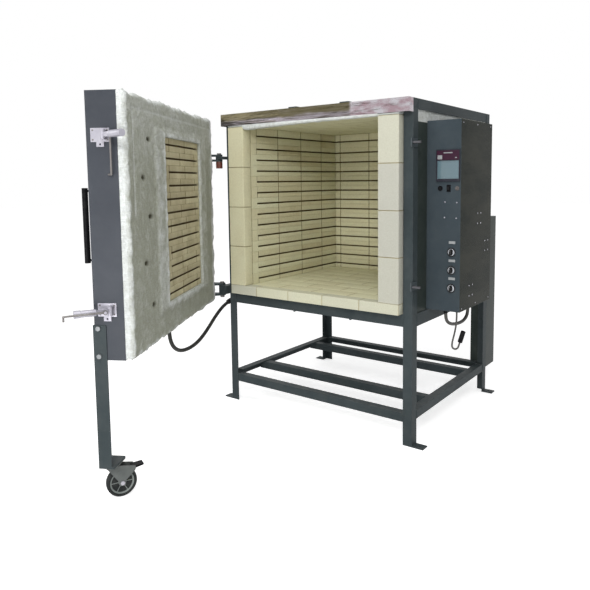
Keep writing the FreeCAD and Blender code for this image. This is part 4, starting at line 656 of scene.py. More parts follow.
# %% Control box and keeper finishes
SIDE_SHADE_TONES = ((0.006, 0.010, 0.006), (0.026, 0.028, 0.020))
finish("box_shell", "powder_coat", {"Paint": (0.048, 0.062, 0.072), "Shade": (0.038, 0.050, 0.058),
       "Dust": 0.08, "Roughness": 0.36}, gloss=0.03, wear=0.4, bare=(0.2, 0.2, 0.2), radius=0.002)
tree = PAINT["box_shell"].node_tree
board, shader = Board(tree), tree.nodes["Principled BSDF"].inputs
front = {key: shader[key].links[0].from_socket for key in ("Base Color", "Roughness")}
# Faces that look along +x get the side's darker tones, which are painted shade.
side_shade_mask = board.ramp(board.separate(board.put("ShaderNodeTexCoord", out=1))[0], 0.5, 0.7)
side = board.mix(board.cloud(board.stretch(board.place(), 3.0, 3.0, 9.0), 1.0, 0.35, 0.65, 5.0),
                 *SIDE_SHADE_TONES)
rough_by_side = board.put("ShaderNodeMix", {0: side_shade_mask, 2: front["Roughness"], 3: 0.24},
                          data_type="FLOAT")
board.feed(shader, {"Base Color": board.mix(side_shade_mask, front["Base Color"], side),
                    "Roughness": rough_by_side})

PLATE_FACE = 0.6245
PAINT["keeper_finish"], shader, board = new_material("keeper_finish")
peg = board.ramp(board.separate(board.place())[0], PLATE_FACE, PLATE_FACE + 0.001)
board.feed(shader, {"Base Color": board.mix(peg, (0.042, 0.054, 0.060), (0.10, 0.10, 0.108)),
                    "Metallic": peg,
                    "Roughness": board.ramp(board.noise(board.place(), 60.0), 0.3, 0.7, 0.35, 0.5)})
print("split finishes: box_shell and keeper_finish")

# %% [markdown]
# Every CAD node now gets the finish that the record names for it. A few look different on the real
# kiln from what their slot says, such as the grey zinc of the caster's fork, and they are changed
# by name. Only the material slot is set, never the mesh.

# %% Dress the CAD nodes
for row in frame["record"]["subparts"]:
    data = nodes[row["node"]].data
    data.materials.clear()
    data.materials.append(PAINT[row["material_slot"]])
for name, slot in (("caster_fork", "dull_steel"), ("caster_plate", "dull_steel"),
                   ("leg_bolts", "bolt_steel"), ("upper_hook_rod", "pin_steel"),
                   ("lower_hook_rod", "pin_steel"), ("switch_collars", "black_plastic"),
                   ("control_box", "box_shell"), ("keeper_pegs", "keeper_finish")):
    nodes[name].data.materials[0] = PAINT[slot]
for cable, slot in ((conduit, "cable_jacket"), (loop_cable, "grey_jacket"),
                    (tail_cable, "grey_jacket")):
    cable.data.materials.append(PAINT[slot])

# %% [markdown]
# Every new piece goes through one function. It turns a bmesh in millimetres into a mesh in the
# kiln's or the door's place, keeps hard edges hard, and lets the piece ride on its body. Turned parts
# come from a lathe, which is a loft of circles along an axis. The Screw modifier could turn them too,
# but a loft gives closed ends at once.

# %% Piece, lathe and arc
def make_piece(name, shape, place, body, slot, angle=30, replaced=(), paint=None):
    """Finish a bmesh in millimetres as a piece that rides on a body."""
    bmesh.ops.recalc_face_normals(shape, faces=shape.faces)
    shape.transform(place)
    item = shaded_object(name, shape, angle)
    item.data.materials.append(PAINT[paint or slot])
    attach(item, body)
    if replaced:
        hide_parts(*replaced)
    return item


def lathe(shape, outline, place, axis, sides=32):
    """Turn an outline of (radius, distance) about an axis, closed at both ends."""
    axis = Vector(axis).normalized()
    side = axis.orthogonal().normalized()
    loft(shape, [ring_points(Vector(place) + axis * along, side, axis.cross(side), radius, sides)
                 for radius, along in outline])


def arc(centre, radius, start, end, steps=3):
    """Points on an arc from one angle to another, in degrees."""
    turns = [math.radians(start + (end - start) * step / steps) for step in range(steps + 1)]
    return [(centre[0] + radius * math.cos(turn), centre[1] + radius * math.sin(turn))
            for turn in turns]


X_AXIS, Y_AXIS, Z_AXIS = (1, 0, 0), (0, 1, 0), (0, 0, 1)
print("piece helpers ready")

# %% [markdown]
# The chamber is built of insulating firebricks. Each brick here is a loft along its length: the
# outline has rounded edges and, in the walls, a keyhole groove whose narrow mouth holds the element
# in. Cutting lines into one slab would be quicker, but separate bricks have their own tone and sit
# slightly proud or back, as laid bricks do.

# %% Brick outline
BRICK_LONG, BRICK_WIDE, BRICK_THICK = 228.6, 114.3, 63.5
ROUND = 2.2
LIP, MOUTH_DEEP, WIDE_FROM, CHAMFER_IN, CHAMFER_OUT = 1.9, 6, 9, 0.6, 1.4
GROOVE_FACES = range(6, 15)


def lip_points(edge, back, inward):
    """From the hot face over the lip of the mouth to one edge of the groove."""
    lip = edge + inward * LIP
    return [(back, lip - inward * CHAMFER_OUT), (max(back, CHAMFER_IN), lip),
            (max(back, MOUTH_DEEP), lip), (max(back, WIDE_FROM), edge)]


def brick_outline(thick, tall, groove=None, inset=0.0, below=0.0, above=0.0):
    """Outline as (depth, height). Depth is 0 on the hot face; below and above cut it back."""
    points = [(max(u, below), v) for u, v in arc((ROUND, ROUND), ROUND, 270, 180)]
    points += [(below, ROUND + 1.5)]
    if groove:
        low, high, deep = groove
        bend = (high - low) / 2
        points += lip_points(low, below, 1)
        points += arc((deep - bend, (low + high) / 2), bend, 270, 450, 6)
        points += reversed(lip_points(high, above, -1))
    points += [(above, tall - ROUND - 1.5)]
    points += [(max(u, above), v) for u, v in arc((ROUND, tall - ROUND), ROUND, 180, 90)]
    points += arc((thick - ROUND, tall - ROUND), ROUND, 90, 0)
    points += arc((thick - ROUND, ROUND), ROUND, 0, -90)
    return [(min(max(u, inset), thick - inset), min(max(v, inset), tall - inset))
            for u, v in points]


print("points of a grooved outline:", len(brick_outline(BRICK_WIDE, BRICK_THICK, (23, 36, 26))))

# %% [markdown]
# Near each end the sections of a brick get a little smaller, and that makes the fine joint lines. The
# faces there and in the groove take a sooty tone, the others the tone of the brick. A long brick may
# be made in lengths, where its groove starts or a slot crosses it, and then the ends that meet stay
# open, with no joint between them.

# %% Lay a brick
END_STEPS = ((0, 1.6), (0.6, 0.5), (2, 0), (4, 0))
GROOVE_SOOT, JOINT_SOOT, HALF_JOINT = 2.9, 2.45, 0.9


def lay_brick(shape, layer, tone, span, thick, tall, put, groove=None, open_ends=(False, False),
              below=0.0, above=0.0, joint_tone=JOINT_SOOT):
    """One brick, or one length of a brick whose open end meets the next length of it."""
    start, end = span
    stations = [(start, 0)] if open_ends[0] else [(start + away, inset) for away, inset in END_STEPS]
    stations += [(end, 0)] if open_ends[1] else [(end - away, inset)
                                                 for away, inset in reversed(END_STEPS)]
    sections = [[put(u, v, along) for u, v in brick_outline(thick, tall, groove, inset, below, above)]
                for along, inset in stations]
    last = len(stations) - 2

    def tone_at(step, number):
        if groove and number in GROOVE_FACES or below or above:
            return GROOVE_SOOT
        at_joint = (step <= 1 and not open_ends[0]) or (step >= last - 1 and not open_ends[1])
        return joint_tone if at_joint else tone

    loft(shape, sections, layer, tone, tone_at)


def cuts(start, end, joints):
    """Spans between joints, each short by half a joint at both ends."""
    marks = [start] + [joint for joint in joints if start < joint < end] + [end]
    return [(one + HALF_JOINT, two - HALF_JOINT) for one, two in zip(marks, marks[1:])]


def new_bricks():
    shape = bmesh.new()
    return shape, shape.faces.layers.float.new("brick_tone")


print("spans of a short wall:", cuts(0, 2 * BRICK_LONG, (BRICK_LONG,)))

# %% [markdown]
# The side walls have stacked joints, as the photo shows, and the grooves start behind the front
# reveal. At their front ends some neighbouring grooves are linked by a narrow upright slot, through
# which the end of one element passes to the next. Fourteen courses fill the height, and the top one
# is taller. An Array modifier could stack them, but every brick has its own draw of tone and place.

# %% Side walls
FLOOR, CEILING, COURSES = 719.0, 1633.4, 14
HALF, OUTER, DEEP, REAR = 440.0, 554.3, 944.0, 1058.3
BED, GROOVE_MIDDLE, TOP_RISE, GROOVE_HALF, GROOVE_DEEP = 0.4, 29.5, 12.7, 6.5, 26.0
WALL_FRONT, GROOVE_START, SLOT_END, SLOT_DEEP, PROUD = 63.9, 117, 120.5, 9.0, 0.5
BACK_GAP = 0.6
WALL_THICK = OUTER - HALF - BACK_GAP
SIDE_JOINTS = (316, 549, 775)
LINKED_ABOVE = {0, 1, 4, 8, 12}


def course(number):
    """Bottom, height and groove of one course of a wall."""
    bottom = FLOOR + BRICK_THICK * number
    last = number == COURSES - 1
    tall = (CEILING if last else bottom + BRICK_THICK) - bottom - BED
    middle = GROOVE_MIDDLE + (TOP_RISE if last else 0)
    return bottom, tall, (middle - GROOVE_HALF, middle + GROOVE_HALF, GROOVE_DEEP)


shape, layer = new_bricks()
for side in (-1, 1):
    for number in range(COURSES):
        bottom, tall, groove = course(number)
        above = SLOT_DEEP if number in LINKED_ABOVE else 0.0
        below = SLOT_DEEP if number - 1 in LINKED_ABOVE else 0.0
        for start, end in cuts(WALL_FRONT, REAR, SIDE_JOINTS):
            tone, proud = random.random(), random.uniform(-PROUD, PROUD)

            def put(u, v, along, side=side, bottom=bottom, proud=proud):
                return Vector((side * (HALF + u + proud), along, bottom + v))

            if start > GROOVE_START:
                lay_brick(shape, layer, tone, (start, end), WALL_THICK, tall, put, groove)
                continue
            lay_brick(shape, layer, tone, (start, GROOVE_START), WALL_THICK, tall, put,
                      open_ends=(False, True))
            lay_brick(shape, layer, tone, (GROOVE_START, SLOT_END), WALL_THICK, tall, put, groove,
                      (True, True), below, above)
            lay_brick(shape, layer, tone, (SLOT_END, end), WALL_THICK, tall, put, groove,
                      (True, False))
side_walls = make_piece("side_wall_bricks", shape, KILN, "kiln", "firebrick", 30, ("side_walls",))
print("side walls:", len(side_walls.data.vertices), "points")

# %% [markdown]
# The back wall has the same courses, and its grooves meet those of the sides. A turned copy of a
# side wall would be quicker, but its joints lie elsewhere and its bricks are closer in tone, so it is
# laid brick by brick too.

# %% Back wall
BACK_JOINTS, BACK_TONE, BACK_SPREAD, EDGE_GAP = (-397, -168.4, 60.2, 288.8), 0.25, 0.4, 0.4
shape, layer = new_bricks()
for number in range(COURSES):
    bottom, tall, groove = course(number)
    for span in cuts(-HALF + EDGE_GAP, HALF - EDGE_GAP, BACK_JOINTS):
        tone, proud = BACK_TONE + BACK_SPREAD * random.random(), random.uniform(-PROUD, PROUD)

        def put(u, v, along, bottom=bottom, proud=proud):
            return Vector((along, DEEP + u + proud, bottom + v))

        lay_brick(shape, layer, tone, span, REAR - DEEP - BACK_GAP, tall, put, groove)
make_piece("back_wall_bricks", shape, KILN, "kiln", "firebrick", 30, ("back_wall",))
print("back wall:", COURSES, "courses")

# %% [markdown]
# Four bricks stand on end on each side of the opening. Copies of one brick would show at once here,
# where the eye meets them first, so each has its own place and tone. As in the photo, the right ones
# are bleached, the left ones are browner, and their joints are faint, with little soot.

# %% Front columns
COLUMN_TONE = {-1: 0.35, 1: -0.9}
COLUMN_BRICKS, COLUMN_DEEP, COLUMN_PROUD, COLUMN_SPREAD, COLUMN_JOINT = 4, 62.6, 0.8, 0.4, 1.75
shape, layer = new_bricks()
for side, shade in COLUMN_TONE.items():
    for number in range(COLUMN_BRICKS):
        start = FLOOR + BRICK_LONG * number
        proud = random.uniform(0.0, COLUMN_PROUD)
        tone = random.random() * COLUMN_SPREAD + shade

        def put(u, v, along, side=side, proud=proud):
            return Vector((side * (HALF + 0.3 + v), u + proud, along))

        lay_brick(shape, layer, tone, (start + BED, start + 228.0), COLUMN_DEEP, WALL_THICK, put,
                  joint_tone=COLUMN_JOINT)
make_piece("front_column_bricks", shape, KILN, "kiln", "firebrick", 30, ("front_columns",))
print("columns:", COLUMN_BRICKS * len(COLUMN_TONE), "bricks")

# %% [markdown]
# The floor starts with a sill of bricks on edge, and rows of bricks lie behind it with their joints
# staggered. One slab with lines would be enough for so flat a surface, but the sill shows its bricks
# from two sides. The roof rows are laid the same way, so one function lays both.

# %% Floor and roof
SMALLEST_ROW, SMALLEST_PIECE, ROW_GAP, SILL_PAINTED_LIGHT, ROW_JOINT = 8, 12, 0.2, -0.7, 1.5


def lay_rows(name, node_name, first, start, end, low, high, shift, deep):
    """Rows of bricks from the front to the back, with an optional first row of its own depth."""
    shape, layer = new_bricks()
    marks = [start + BRICK_WIDE * number for number in range(int((end - start) / BRICK_WIDE) + 1)]
    rows = [(one, two) for one, two in zip(marks, marks[1:] + [end]) if two - one > SMALLEST_ROW]
    rows = ([first] if first else []) + rows
    for number, (front, back) in enumerate(rows):
        offset = shift if number % 2 == 0 else shift + BRICK_WIDE
        joints = [offset + BRICK_LONG * step for step in range(-4, 5)]
        for span in cuts(-OUTER, OUTER, joints):
            if span[1] - span[0] < SMALLEST_PIECE:
                continue
            tone, rise = deep * random.random(), random.uniform(-0.5, 0.0)
            # The sill's lower tone is painted light on the front of the floor.
            tone += SILL_PAINTED_LIGHT if first and number == 0 else 0

            def put(u, v, along, front=front, rise=rise):
                return Vector((along, front + ROW_GAP + u, low + v + rise * (v > 20)))

            lay_brick(shape, layer, tone, span, back - front - 2 * ROW_GAP, high - low, put,
                      joint_tone=ROW_JOINT)
    make_piece(name, shape, KILN, "kiln", "firebrick", 30, (node_name,))
    print(name, "-", len(rows), "rows")


# Floor and roof take their tones from the pale end of the range, the roof most of all: painted light
# inside the chamber.
lay_rows("floor_brick_rows", "floor_bricks", (0, 63.1), 63.5, REAR, 666, FLOOR, 100.5, 0.4)
lay_rows("roof_brick_rows", "roof_bricks", None, 49.7, REAR - 4.8, CEILING, 1696.9, -40, 0.1)

# %% [markdown]
# The heating elements are close coils of resistance wire. A helix is computed along each groove and
# a thin four-sided tube swept on it: at this size a rounder wire would only add points. A bump on a
# plain rod would look like a coil from the front only.

# %% Coils in the walls
COIL_RADIUS, COIL_PITCH, COIL_STEPS, WIRE_RADIUS = 4.0, 13.0, 7, 1.1
COIL_FRONT, COIL_BACK_OFF, COIL_BEND, COIL_RISE = 123, 11, 14, 5.4


def add_coil(shape, points):
    """Wind a coil along a level path and sweep the wire on it."""
    marks, walked = [0.0], 0.0
    for one, two in zip(points, points[1:]):
        walked += (two - one).length
        marks.append(walked)
    count = int(walked / COIL_PITCH * COIL_STEPS)
    line, piece = [], 0
    for number in range(count + 1):
        at = walked * number / count
        while piece < len(points) - 2 and at > marks[piece + 1]:
            piece += 1
        along = (points[piece + 1] - points[piece]).normalized()
        turn = math.tau * at / COIL_PITCH
        line.append(points[piece] + along * (at - marks[piece])
                    + Vector((-along.y, along.x, 0)) * (COIL_RADIUS * math.cos(turn))
                    + Vector((0, 0, COIL_RADIUS * math.sin(turn))))
    loft(shape, tube_rings(line, WIRE_RADIUS, 4))


shape = bmesh.new()
wall, bend = HALF + COIL_BACK_OFF, DEEP + COIL_BACK_OFF - COIL_BEND
bends = (arc((COIL_BEND - wall, bend), COIL_BEND, 180, 90, 5)
         + arc((wall - COIL_BEND, bend), COIL_BEND, 90, 0, 5))
for number in range(COURSES):
    bottom, tall, groove = course(number)
    add_coil(shape, [Vector((x, y, bottom + groove[0] + COIL_RISE))
                     for x, y in [(-wall, COIL_FRONT), *bends, (wall, COIL_FRONT)]])
coils = make_piece("wall_coils", shape, KILN, "kiln", "element_wire", 80, ("heating_elements",))
print("coil points:", len(coils.data.vertices), "on the walls")

# %% [markdown]
# The door has a heating element too, in a panel of twelve grooved courses. The grooves stop short of
# the panel's edges, some of them earlier than others, and the coils end with them. A path of two
# points is enough for each, with the same function as on the walls.

# %% Coils in the door
DOOR_COURSES = 12
PANEL_LEFT, PANEL_WIDE, PANEL_LOW, PANEL_FACE = 320.0, 531.0, 768.0, -32.7
PANEL_RIGHT, PANEL_HIGH = PANEL_LEFT + PANEL_WIDE, PANEL_LOW + DOOR_COURSES * BRICK_THICK
FREE_ENDS = [14, 14, 62, 62, 20, 18, 17, 16, 62, 62, 14, 14]
shape = bmesh.new()
for number, free_end in enumerate(FREE_ENDS):
    level = PANEL_LOW + BRICK_THICK * number + BRICK_THICK / 2 - WIRE_RADIUS
    add_coil(shape, [Vector((x, PANEL_FACE - COIL_BACK_OFF, level))
                     for x in (PANEL_LEFT + 20, PANEL_RIGHT - free_end - 8)])
coils = make_piece("door_coils", shape, DOOR, "door", "element_wire", 80, ("door_elements",))
print("coil points:", len(coils.data.vertices), "on the door")

# %% [markdown]
# The door panel is laid like the walls, and upright slots link pairs of its grooves near the free
# edge. A Boolean would cut grooves that stop short, but it leaves ragged faces and no tones. Each
# brick is cut where its groove starts, where the slot is and where it stops, and laid in lengths.

# %% Door bricks
DOOR_LINKS = (0, 2, 8)
DOOR_TONE, DOOR_SPREAD, DOOR_PROUD, SLOT_WIDE, GROOVE_FROM = 1.1, 0.22, 0.2, 3.5, 12
ODD_JOINT, EVEN_JOINT, DOOR_BRICK = BRICK_LONG, 302.4, (62.6, 63.1)
groove = (BRICK_THICK / 2 - GROOVE_HALF, BRICK_THICK / 2 + GROOVE_HALF, GROOVE_DEEP)
shape, layer = new_bricks()
for number in range(DOOR_COURSES):
    bottom = PANEL_LOW + BRICK_THICK * number + 0.3
    low_end, high_end = PANEL_LEFT + GROOVE_FROM, PANEL_RIGHT - FREE_ENDS[number]
    above = SLOT_DEEP if number in DOOR_LINKS else 0.0
    below = SLOT_DEEP if number - 1 in DOOR_LINKS else 0.0
    joint = PANEL_LEFT + (ODD_JOINT if number % 2 else EVEN_JOINT)
    other = joint + BRICK_LONG if number % 2 else joint - BRICK_LONG
    for start, end in cuts(PANEL_LEFT + 0.3, PANEL_RIGHT - 0.3, sorted((joint, other))):
        tone = DOOR_TONE + DOOR_SPREAD * random.random()
        proud = random.uniform(-DOOR_PROUD, DOOR_PROUD)

        def put(u, v, along, bottom=bottom, proud=proud):
            return Vector((along, PANEL_FACE - u - proud, bottom + v))

        marks = sorted({start, end, *[mark for mark in (low_end, high_end - SLOT_WIDE, high_end)
                                      if start < mark < end]})
        for one, two in zip(marks, marks[1:]):
            middle = (one + two) / 2
            in_slot = high_end - SLOT_WIDE < middle < high_end
            lay_brick(shape, layer, tone, (one, two), *DOOR_BRICK, put,
                      groove if low_end < middle < high_end else None, (one > start, two < end),
                      below if in_slot else 0.0, above if in_slot else 0.0)
make_piece("door_panel_bricks", shape, DOOR, "door", "firebrick", 30, ("door_bricks",))
print("door courses:", DOOR_COURSES)

# %% [markdown]
# The door's lining is folded ceramic fibre. Its face is pressed and greyish, its cut edges are loose
# and bright, and a raised collar of loose fibre frames the brick panel. A Cloth simulation would make
# a pillow of it, and felt 38 mm thick isn't one, so noise moves the points of a fine grid. The next
# helpers give even steps, soft steps and noise of a chosen size.

# %% Helpers for felt
def spread(marks, step):
    """Evenly spaced values through all the marks."""
    values = []
    for one, two in zip(marks, marks[1:]):
        count = max(1, round((two - one) / step))
        values += [one + (two - one) * number / count for number in range(count)]
    return values + [marks[-1]]


def smooth(value, low, high):
    """0 below low, 1 above high, with a soft step between them."""
    share = min(max((value - low) / (high - low), 0.0), 1.0)
    return share * share * (3 - 2 * share)


def rough(x, y, z, size, seed=0.0):
    """Noise whose lumps are about as large as size."""
    return noise.noise(Vector((x / size + seed, y / size, z / size)))


print("half way up a soft step:", smooth(5, 0, 10))

# %% [markdown]
# The face of the lining carries everything that the photo shows on it: a seam and a fold near the
# edges, the collar and the rolled lip round the panel, the pits of five anchors, and brightness that
# follows all of these. Sculpting it by hand would look as good, but it couldn't be rerun. Here one
# function gives the depth and the brightness of any point. The collar rises only inside the opening,
# so that it doesn't touch the brick columns when the door is shut.

# %% Face of the lining
LEFT, RIGHT, LOW, HIGH = 43.7, 1264.1, 615.3, 1681.7
FACE, PAN_FRONT = -27.7, -66.1
COLLAR = (185.0, 968.0, 728.0, 1567.0)
OPENING_LEFT = (LEFT + RIGHT) / 2 - HALF
ANCHORS = ((1031, 1508), (1107, 1345), (1034, 1180), (1101, 986), (1032, 795))
SIDE_SEAM, LEVEL_SEAM, EDGE_ROUND, PIT_DEEP, STRETCHED = 66, 60, 13, 9.0, 1.9


def collar_share(x, z):
    """1 on the raised collar, 0 away from it, with a wandering border."""
    wander = 9 * rough(x, 0, z, 60, 3) + 5 * rough(x, 0, z, 22, 8)
    inside = min(x - COLLAR[0], COLLAR[1] - x, z - COLLAR[2], COLLAR[3] - z) + wander
    return smooth(inside, -4, 14)


def lining_point(x, z):
    """The depth of the face at (x, z), and its brightness."""
    left, far, low, high = x - LEFT, RIGHT - x, z - LOW, HIGH - z
    edge_gap = min(left, far, low, high)
    collar = collar_share(x, z)
    # Slow waves, and the collar and the lip on top of them
    y = FACE - 2.0 + 1.6 * rough(x, 0, z, 120) + 1.8 * rough(x, 0, z, 34, 5)
    y += 5.0 * rough(x, 5, z, 45, 7) * (1 - smooth(left, 10.0, 70.0))
    pocket = max(PANEL_LEFT - x, x - PANEL_RIGHT, PANEL_LOW - z, z - PANEL_HIGH)
    roll = math.sin(math.pi * smooth(pocket, -14, 34)) if pocket < 34 else 0.0
    lift = collar * (6.0 + 2.4 * rough(x, 4, z, 26, 2) + 1.6 * rough(x, 4, z, 11, 6)) + 3.0 * roll
    y = min(y, FACE - 0.5) + lift * smooth(x, OPENING_LEFT + 2, OPENING_LEFT + 12)
    # The seam of the folded frame, which shows on the upper half
    seam = min(abs(left - SIDE_SEAM), abs(far - SIDE_SEAM), abs(low - LEVEL_SEAM),
               abs(high - LEVEL_SEAM))
    in_frame = edge_gap > 57 and z > 1180 + 120 * rough(x, 0, z, 200, 2)
    ridge = (1 - smooth(seam, 1.0, 5.0)) if in_frame else 0.0
    y -= 2.0 * (1 - smooth(seam, 3.0, 11.0)) if in_frame else 0.0
    # Pits of the anchors, and the rounded outer edge
    gap = min(math.hypot((x - across) / STRETCHED, z - level) for across, level in ANCHORS)
    pit = 1 - smooth(gap, 4.0, 15.0)
    y -= PIT_DEEP * pit
    if edge_gap < EDGE_ROUND:
        fall = EDGE_ROUND - max(edge_gap, 0.0)
        y -= EDGE_ROUND - math.sqrt(max(0.0, EDGE_ROUND ** 2 - fall ** 2))
    # Brightness: loose edges, collar, seam, hinge side, upper part and lip
    ragged = edge_gap + 14 * rough(x, 3, z, 50, 2) + 8 * rough(x, 3, z, 17, 6)
    bright = max(0.75 * (1 - smooth(ragged, 4, 24)),
                 (0.34 + 0.4 * rough(x, 7, z, 48, 3)) * collar,
                 0.6 * ridge,
                 1 - smooth(left + 24 * rough(x, 3, z, 70, 9), 26, 62),
                 0.30 * smooth(z, 1250, 1660) + 0.12 * rough(x, 6, z, 130, 1),
                 (0.75 + 0.5 * rough(x, 2, z, 30, 7)) * roll)
    # The pits of the anchors are darkened here: painted shade.
    return y, bright * (1 - 0.9 * pit) + 0.10 * rough(x, 1, z, 40, 4) - 1.0 * pit


print("depth and brightness in the middle of the frame:",
      [round(value, 2) for value in lining_point(1100, 1200)])

# %% [markdown]
# The cut edge of the felt is ragged, most of all on the hinge side. Near it, every point moves in or
# out by noise of three sizes. Where the felt sits in the steel pan, the movement fades, so that
# nothing pokes through the sheet.

# %% Ragged edge
RAGGED = ((34.0, 1.0), (13.0, 12.0), (15.0, 23.0), (17.0, 34.0))


def loosen(x, y, z):
    """Move a point near the outer edge in or out, so the edge is ragged."""
    moves = []
    for gap, (size, seed) in zip((x - LEFT, RIGHT - x, z - LOW, HIGH - z), RAGGED):
        share = 1 - smooth(gap, 0.0, 1.8 * size + 14.0)
        pull = (rough(x, y, z, 58, seed) * 0.8 + rough(x, y, z, 21, seed + 5) * 0.55
                + rough(x, y, z, 9, seed + 9) * 0.35 - 0.12)
        moves.append(share * size * pull)
    tucked = smooth(y, PAN_FRONT - 1, PAN_FRONT + 12)
    return Vector((x + (moves[1] - moves[0]) * tucked, y, z + (moves[3] - moves[2]) * tucked))


print("raggedness of the hinge side:", RAGGED[0][0], "mm")

# %% [markdown]
# The lining is one mesh: a grid for the face with a pocket for the bricks, and rings that follow the
# edge back into the pan. A Boolean could cut the pocket, but leaving out the squares over the panel
# keeps the grid even.

# %% Door lining
GRID_STEP, POCKET_BACK = 8.5, -44.0
EDGE_DEPTHS = (-46.0, -52.0, -58.0, -64.0, -70.0, -84.0)


def over_panel(x, z):
    return PANEL_LEFT < x < PANEL_RIGHT and PANEL_LOW < z < PANEL_HIGH


def border(xs, zs):
    """The grid places around a rectangle, once around."""
    return ([(x, zs[0]) for x in xs] + [(xs[-1], z) for z in zs[1:]]
            + [(x, zs[-1]) for x in reversed(xs[:-1])] + [(xs[0], z) for z in reversed(zs[1:-1])])


shape = bmesh.new()
brightness = shape.verts.layers.float.new("fibre_tone")
xs = spread([LEFT, PANEL_LEFT, PANEL_RIGHT, RIGHT], GRID_STEP)
zs = spread([LOW, PANEL_LOW, PANEL_HIGH, HIGH], GRID_STEP)
grid = {}
for x, z in ((x, z) for x in xs for z in zs if not over_panel(x, z)):
    y, bright = lining_point(x, z)
    grid[x, z] = shape.verts.new(loosen(x, y, z))
    grid[x, z][brightness] = bright
for x_one, x_two in zip(xs, xs[1:]):
    for z_one, z_two in zip(zs, zs[1:]):
        if not over_panel((x_one + x_two) / 2, (z_one + z_two) / 2):
            shape.faces.new([grid[corner] for corner in ((x_one, z_one), (x_two, z_one),
                                                         (x_two, z_two), (x_one, z_two))])
around = border(xs, zs)
ring = [grid[key] for key in around]
for depth in EDGE_DEPTHS:
    after = [shape.verts.new(loosen(x, depth, z)) for x, z in around]
    for vertex, (x, z) in zip(after, around):
        vertex[brightness] = 0.95 + 0.15 * rough(x, depth, z, 24, 9)
    for number in range(len(ring)):
        following = (number + 1) % len(ring)
        shape.faces.new((ring[number], ring[following], after[following], after[number]))
    ring = after
shape.faces.new(ring)
hole = border([x for x in xs if PANEL_LEFT <= x <= PANEL_RIGHT],
              [z for z in zs if PANEL_LOW <= z <= PANEL_HIGH])
lip = [grid[key] for key in hole]
deep = [shape.verts.new((x, POCKET_BACK, z)) for x, z in hole]
for number in range(len(lip)):
    following = (number + 1) % len(lip)
    shape.faces.new((lip[number], deep[number], deep[following], lip[following]))
lining = make_piece("door_fibre_lining", shape, DOOR, "door", "ceramic_fibre", 70, ("door_lining",))
print("lining:", len(lining.data.vertices), "points")

# %% [markdown]
# A strip of loose white fibre seals the joint over the opening. It is squeezed by the trim above it
# and hangs lower towards the left, with a soft scalloped edge. It is a loft of upright sections: its
# lower edge follows the levels read along the opening, with noise between them.

# %% Fibre strip over the opening
HANG = ((-555, 1634), (-445, 1633), (-436, 1617), (-409, 1615), (-251, 1621), (-101, 1626), (41, 1629),
        (175, 1630), (303, 1631), (425, 1633), (441, 1634), (555, 1634))


def hang_level(x):
    """Height of the strip's lower edge."""
    for (one, low), (two, high) in zip(HANG, HANG[1:]):
        if x <= two:
            return low + (high - low) * (x - one) / (two - one)
    return HANG[-1][1]


def strip_section(x):
    """Outline of the strip at one place along the opening."""
    inside = abs(x) < 436
    low = hang_level(x) + (3.0 * rough(x, 0, 0, 42) + 1.6 * rough(x, 5, 0, 15) if inside else 0.2)
    bulge = 0.6 * rough(x, 9, 0, 20)
    return [(x, y, z) for y, z in (
        (5, low + 0.4), (1.5, low + 3), (-0.5 + bulge, low + 9), (-0.6 + bulge, 1641), (0.4, 1650),
        (0.4, 1706), (3, 1709), (40, 1709), (43, 1706), (43.5, 1659.4), (48.8, 1659), (48.8, 1640),
        (46, low + 3), (42, low + 0.6), (24, low - 0.4 * inside))]


shape = bmesh.new()
brightness = shape.verts.layers.float.new("fibre_tone")
stations = spread([-554.0, -446, -434, 434, 446, 554.0], 7)
rings = loft(shape, [strip_section(x) for x in stations])
for x, vertex in ((x, vertex) for x, ring in zip(stations, rings) for vertex in ring):
    vertex[brightness] = 0.9 + 0.25 * rough(x, vertex.co.y, vertex.co.z, 18, 3)
make_piece("opening_fibre_strip", shape, KILN, "kiln", "ceramic_fibre", 60, ("lintel_fibre",))
print("strip sections:", len(rings))

# %% [markdown]
# Blanket of the same fibre lies on the roof and stands between the brick and the side panels. Each
# sheet is a box of small squares whose points are pushed in by noise, so its faces sag and dent. A
# subdivided cube with a Displace modifier would do the same, but its squares wouldn't be even.

# %% Insulation blankets
def felt_slab(shape, layer, low, high, dent, step=34):
    """A box of squares from low to high, with its faces pushed in by up to about the dent."""
    axes = [spread([low[axis], high[axis]], step) for axis in range(3)]
    made = {}

    def point(place):
        key = tuple(round(value, 2) for value in place)
        if key not in made:
            push = [dent * max(0.0, 0.3 + rough(*place, 90, seed)) for seed in (1.0, 7.0, 13.0)]
            made[key] = shape.verts.new(
                [value + (amount if value == first else -amount if value == last else 0)
                 for value, first, last, amount in zip(place, low, high, push)])
            made[key][layer] = 0.75 + 0.4 * rough(*place, 70, 4)
        return made[key]

    for axis in range(3):
        one, two = [other for other in range(3) if other != axis]
        for side in (low[axis], high[axis]):
            for a_one, a_two in zip(axes[one], axes[one][1:]):
                for b_one, b_two in zip(axes[two], axes[two][1:]):
                    corners = []
                    for a, b in ((a_one, b_one), (a_two, b_one), (a_two, b_two), (a_one, b_two)):
                        place = [0.0, 0.0, 0.0]
                        place[axis], place[one], place[two] = side, a, b
                        corners.append(point(place))
                    shape.faces.new(corners)


ROOF_TOP, BLANKET_FRONT = 1696.9, 49.8
shape = bmesh.new()
layer = shape.verts.layers.float.new("fibre_tone")
felt_slab(shape, layer, (-OUTER, 49.9, ROOF_TOP), (OUTER, 1053.4, 1704.9), 2.2)
for inner, outer in ((-600.2, -554.6), (554.6, 600.2)):
    felt_slab(shape, layer, (inner, BLANKET_FRONT, 666), (outer, 1055.0, ROOF_TOP), 2.5, 60)
blankets = make_piece("case_blankets", shape, KILN, "kiln", "ceramic_fibre", 60, ("case_insulation",))
print("blankets:", len(blankets.data.polygons), "squares")

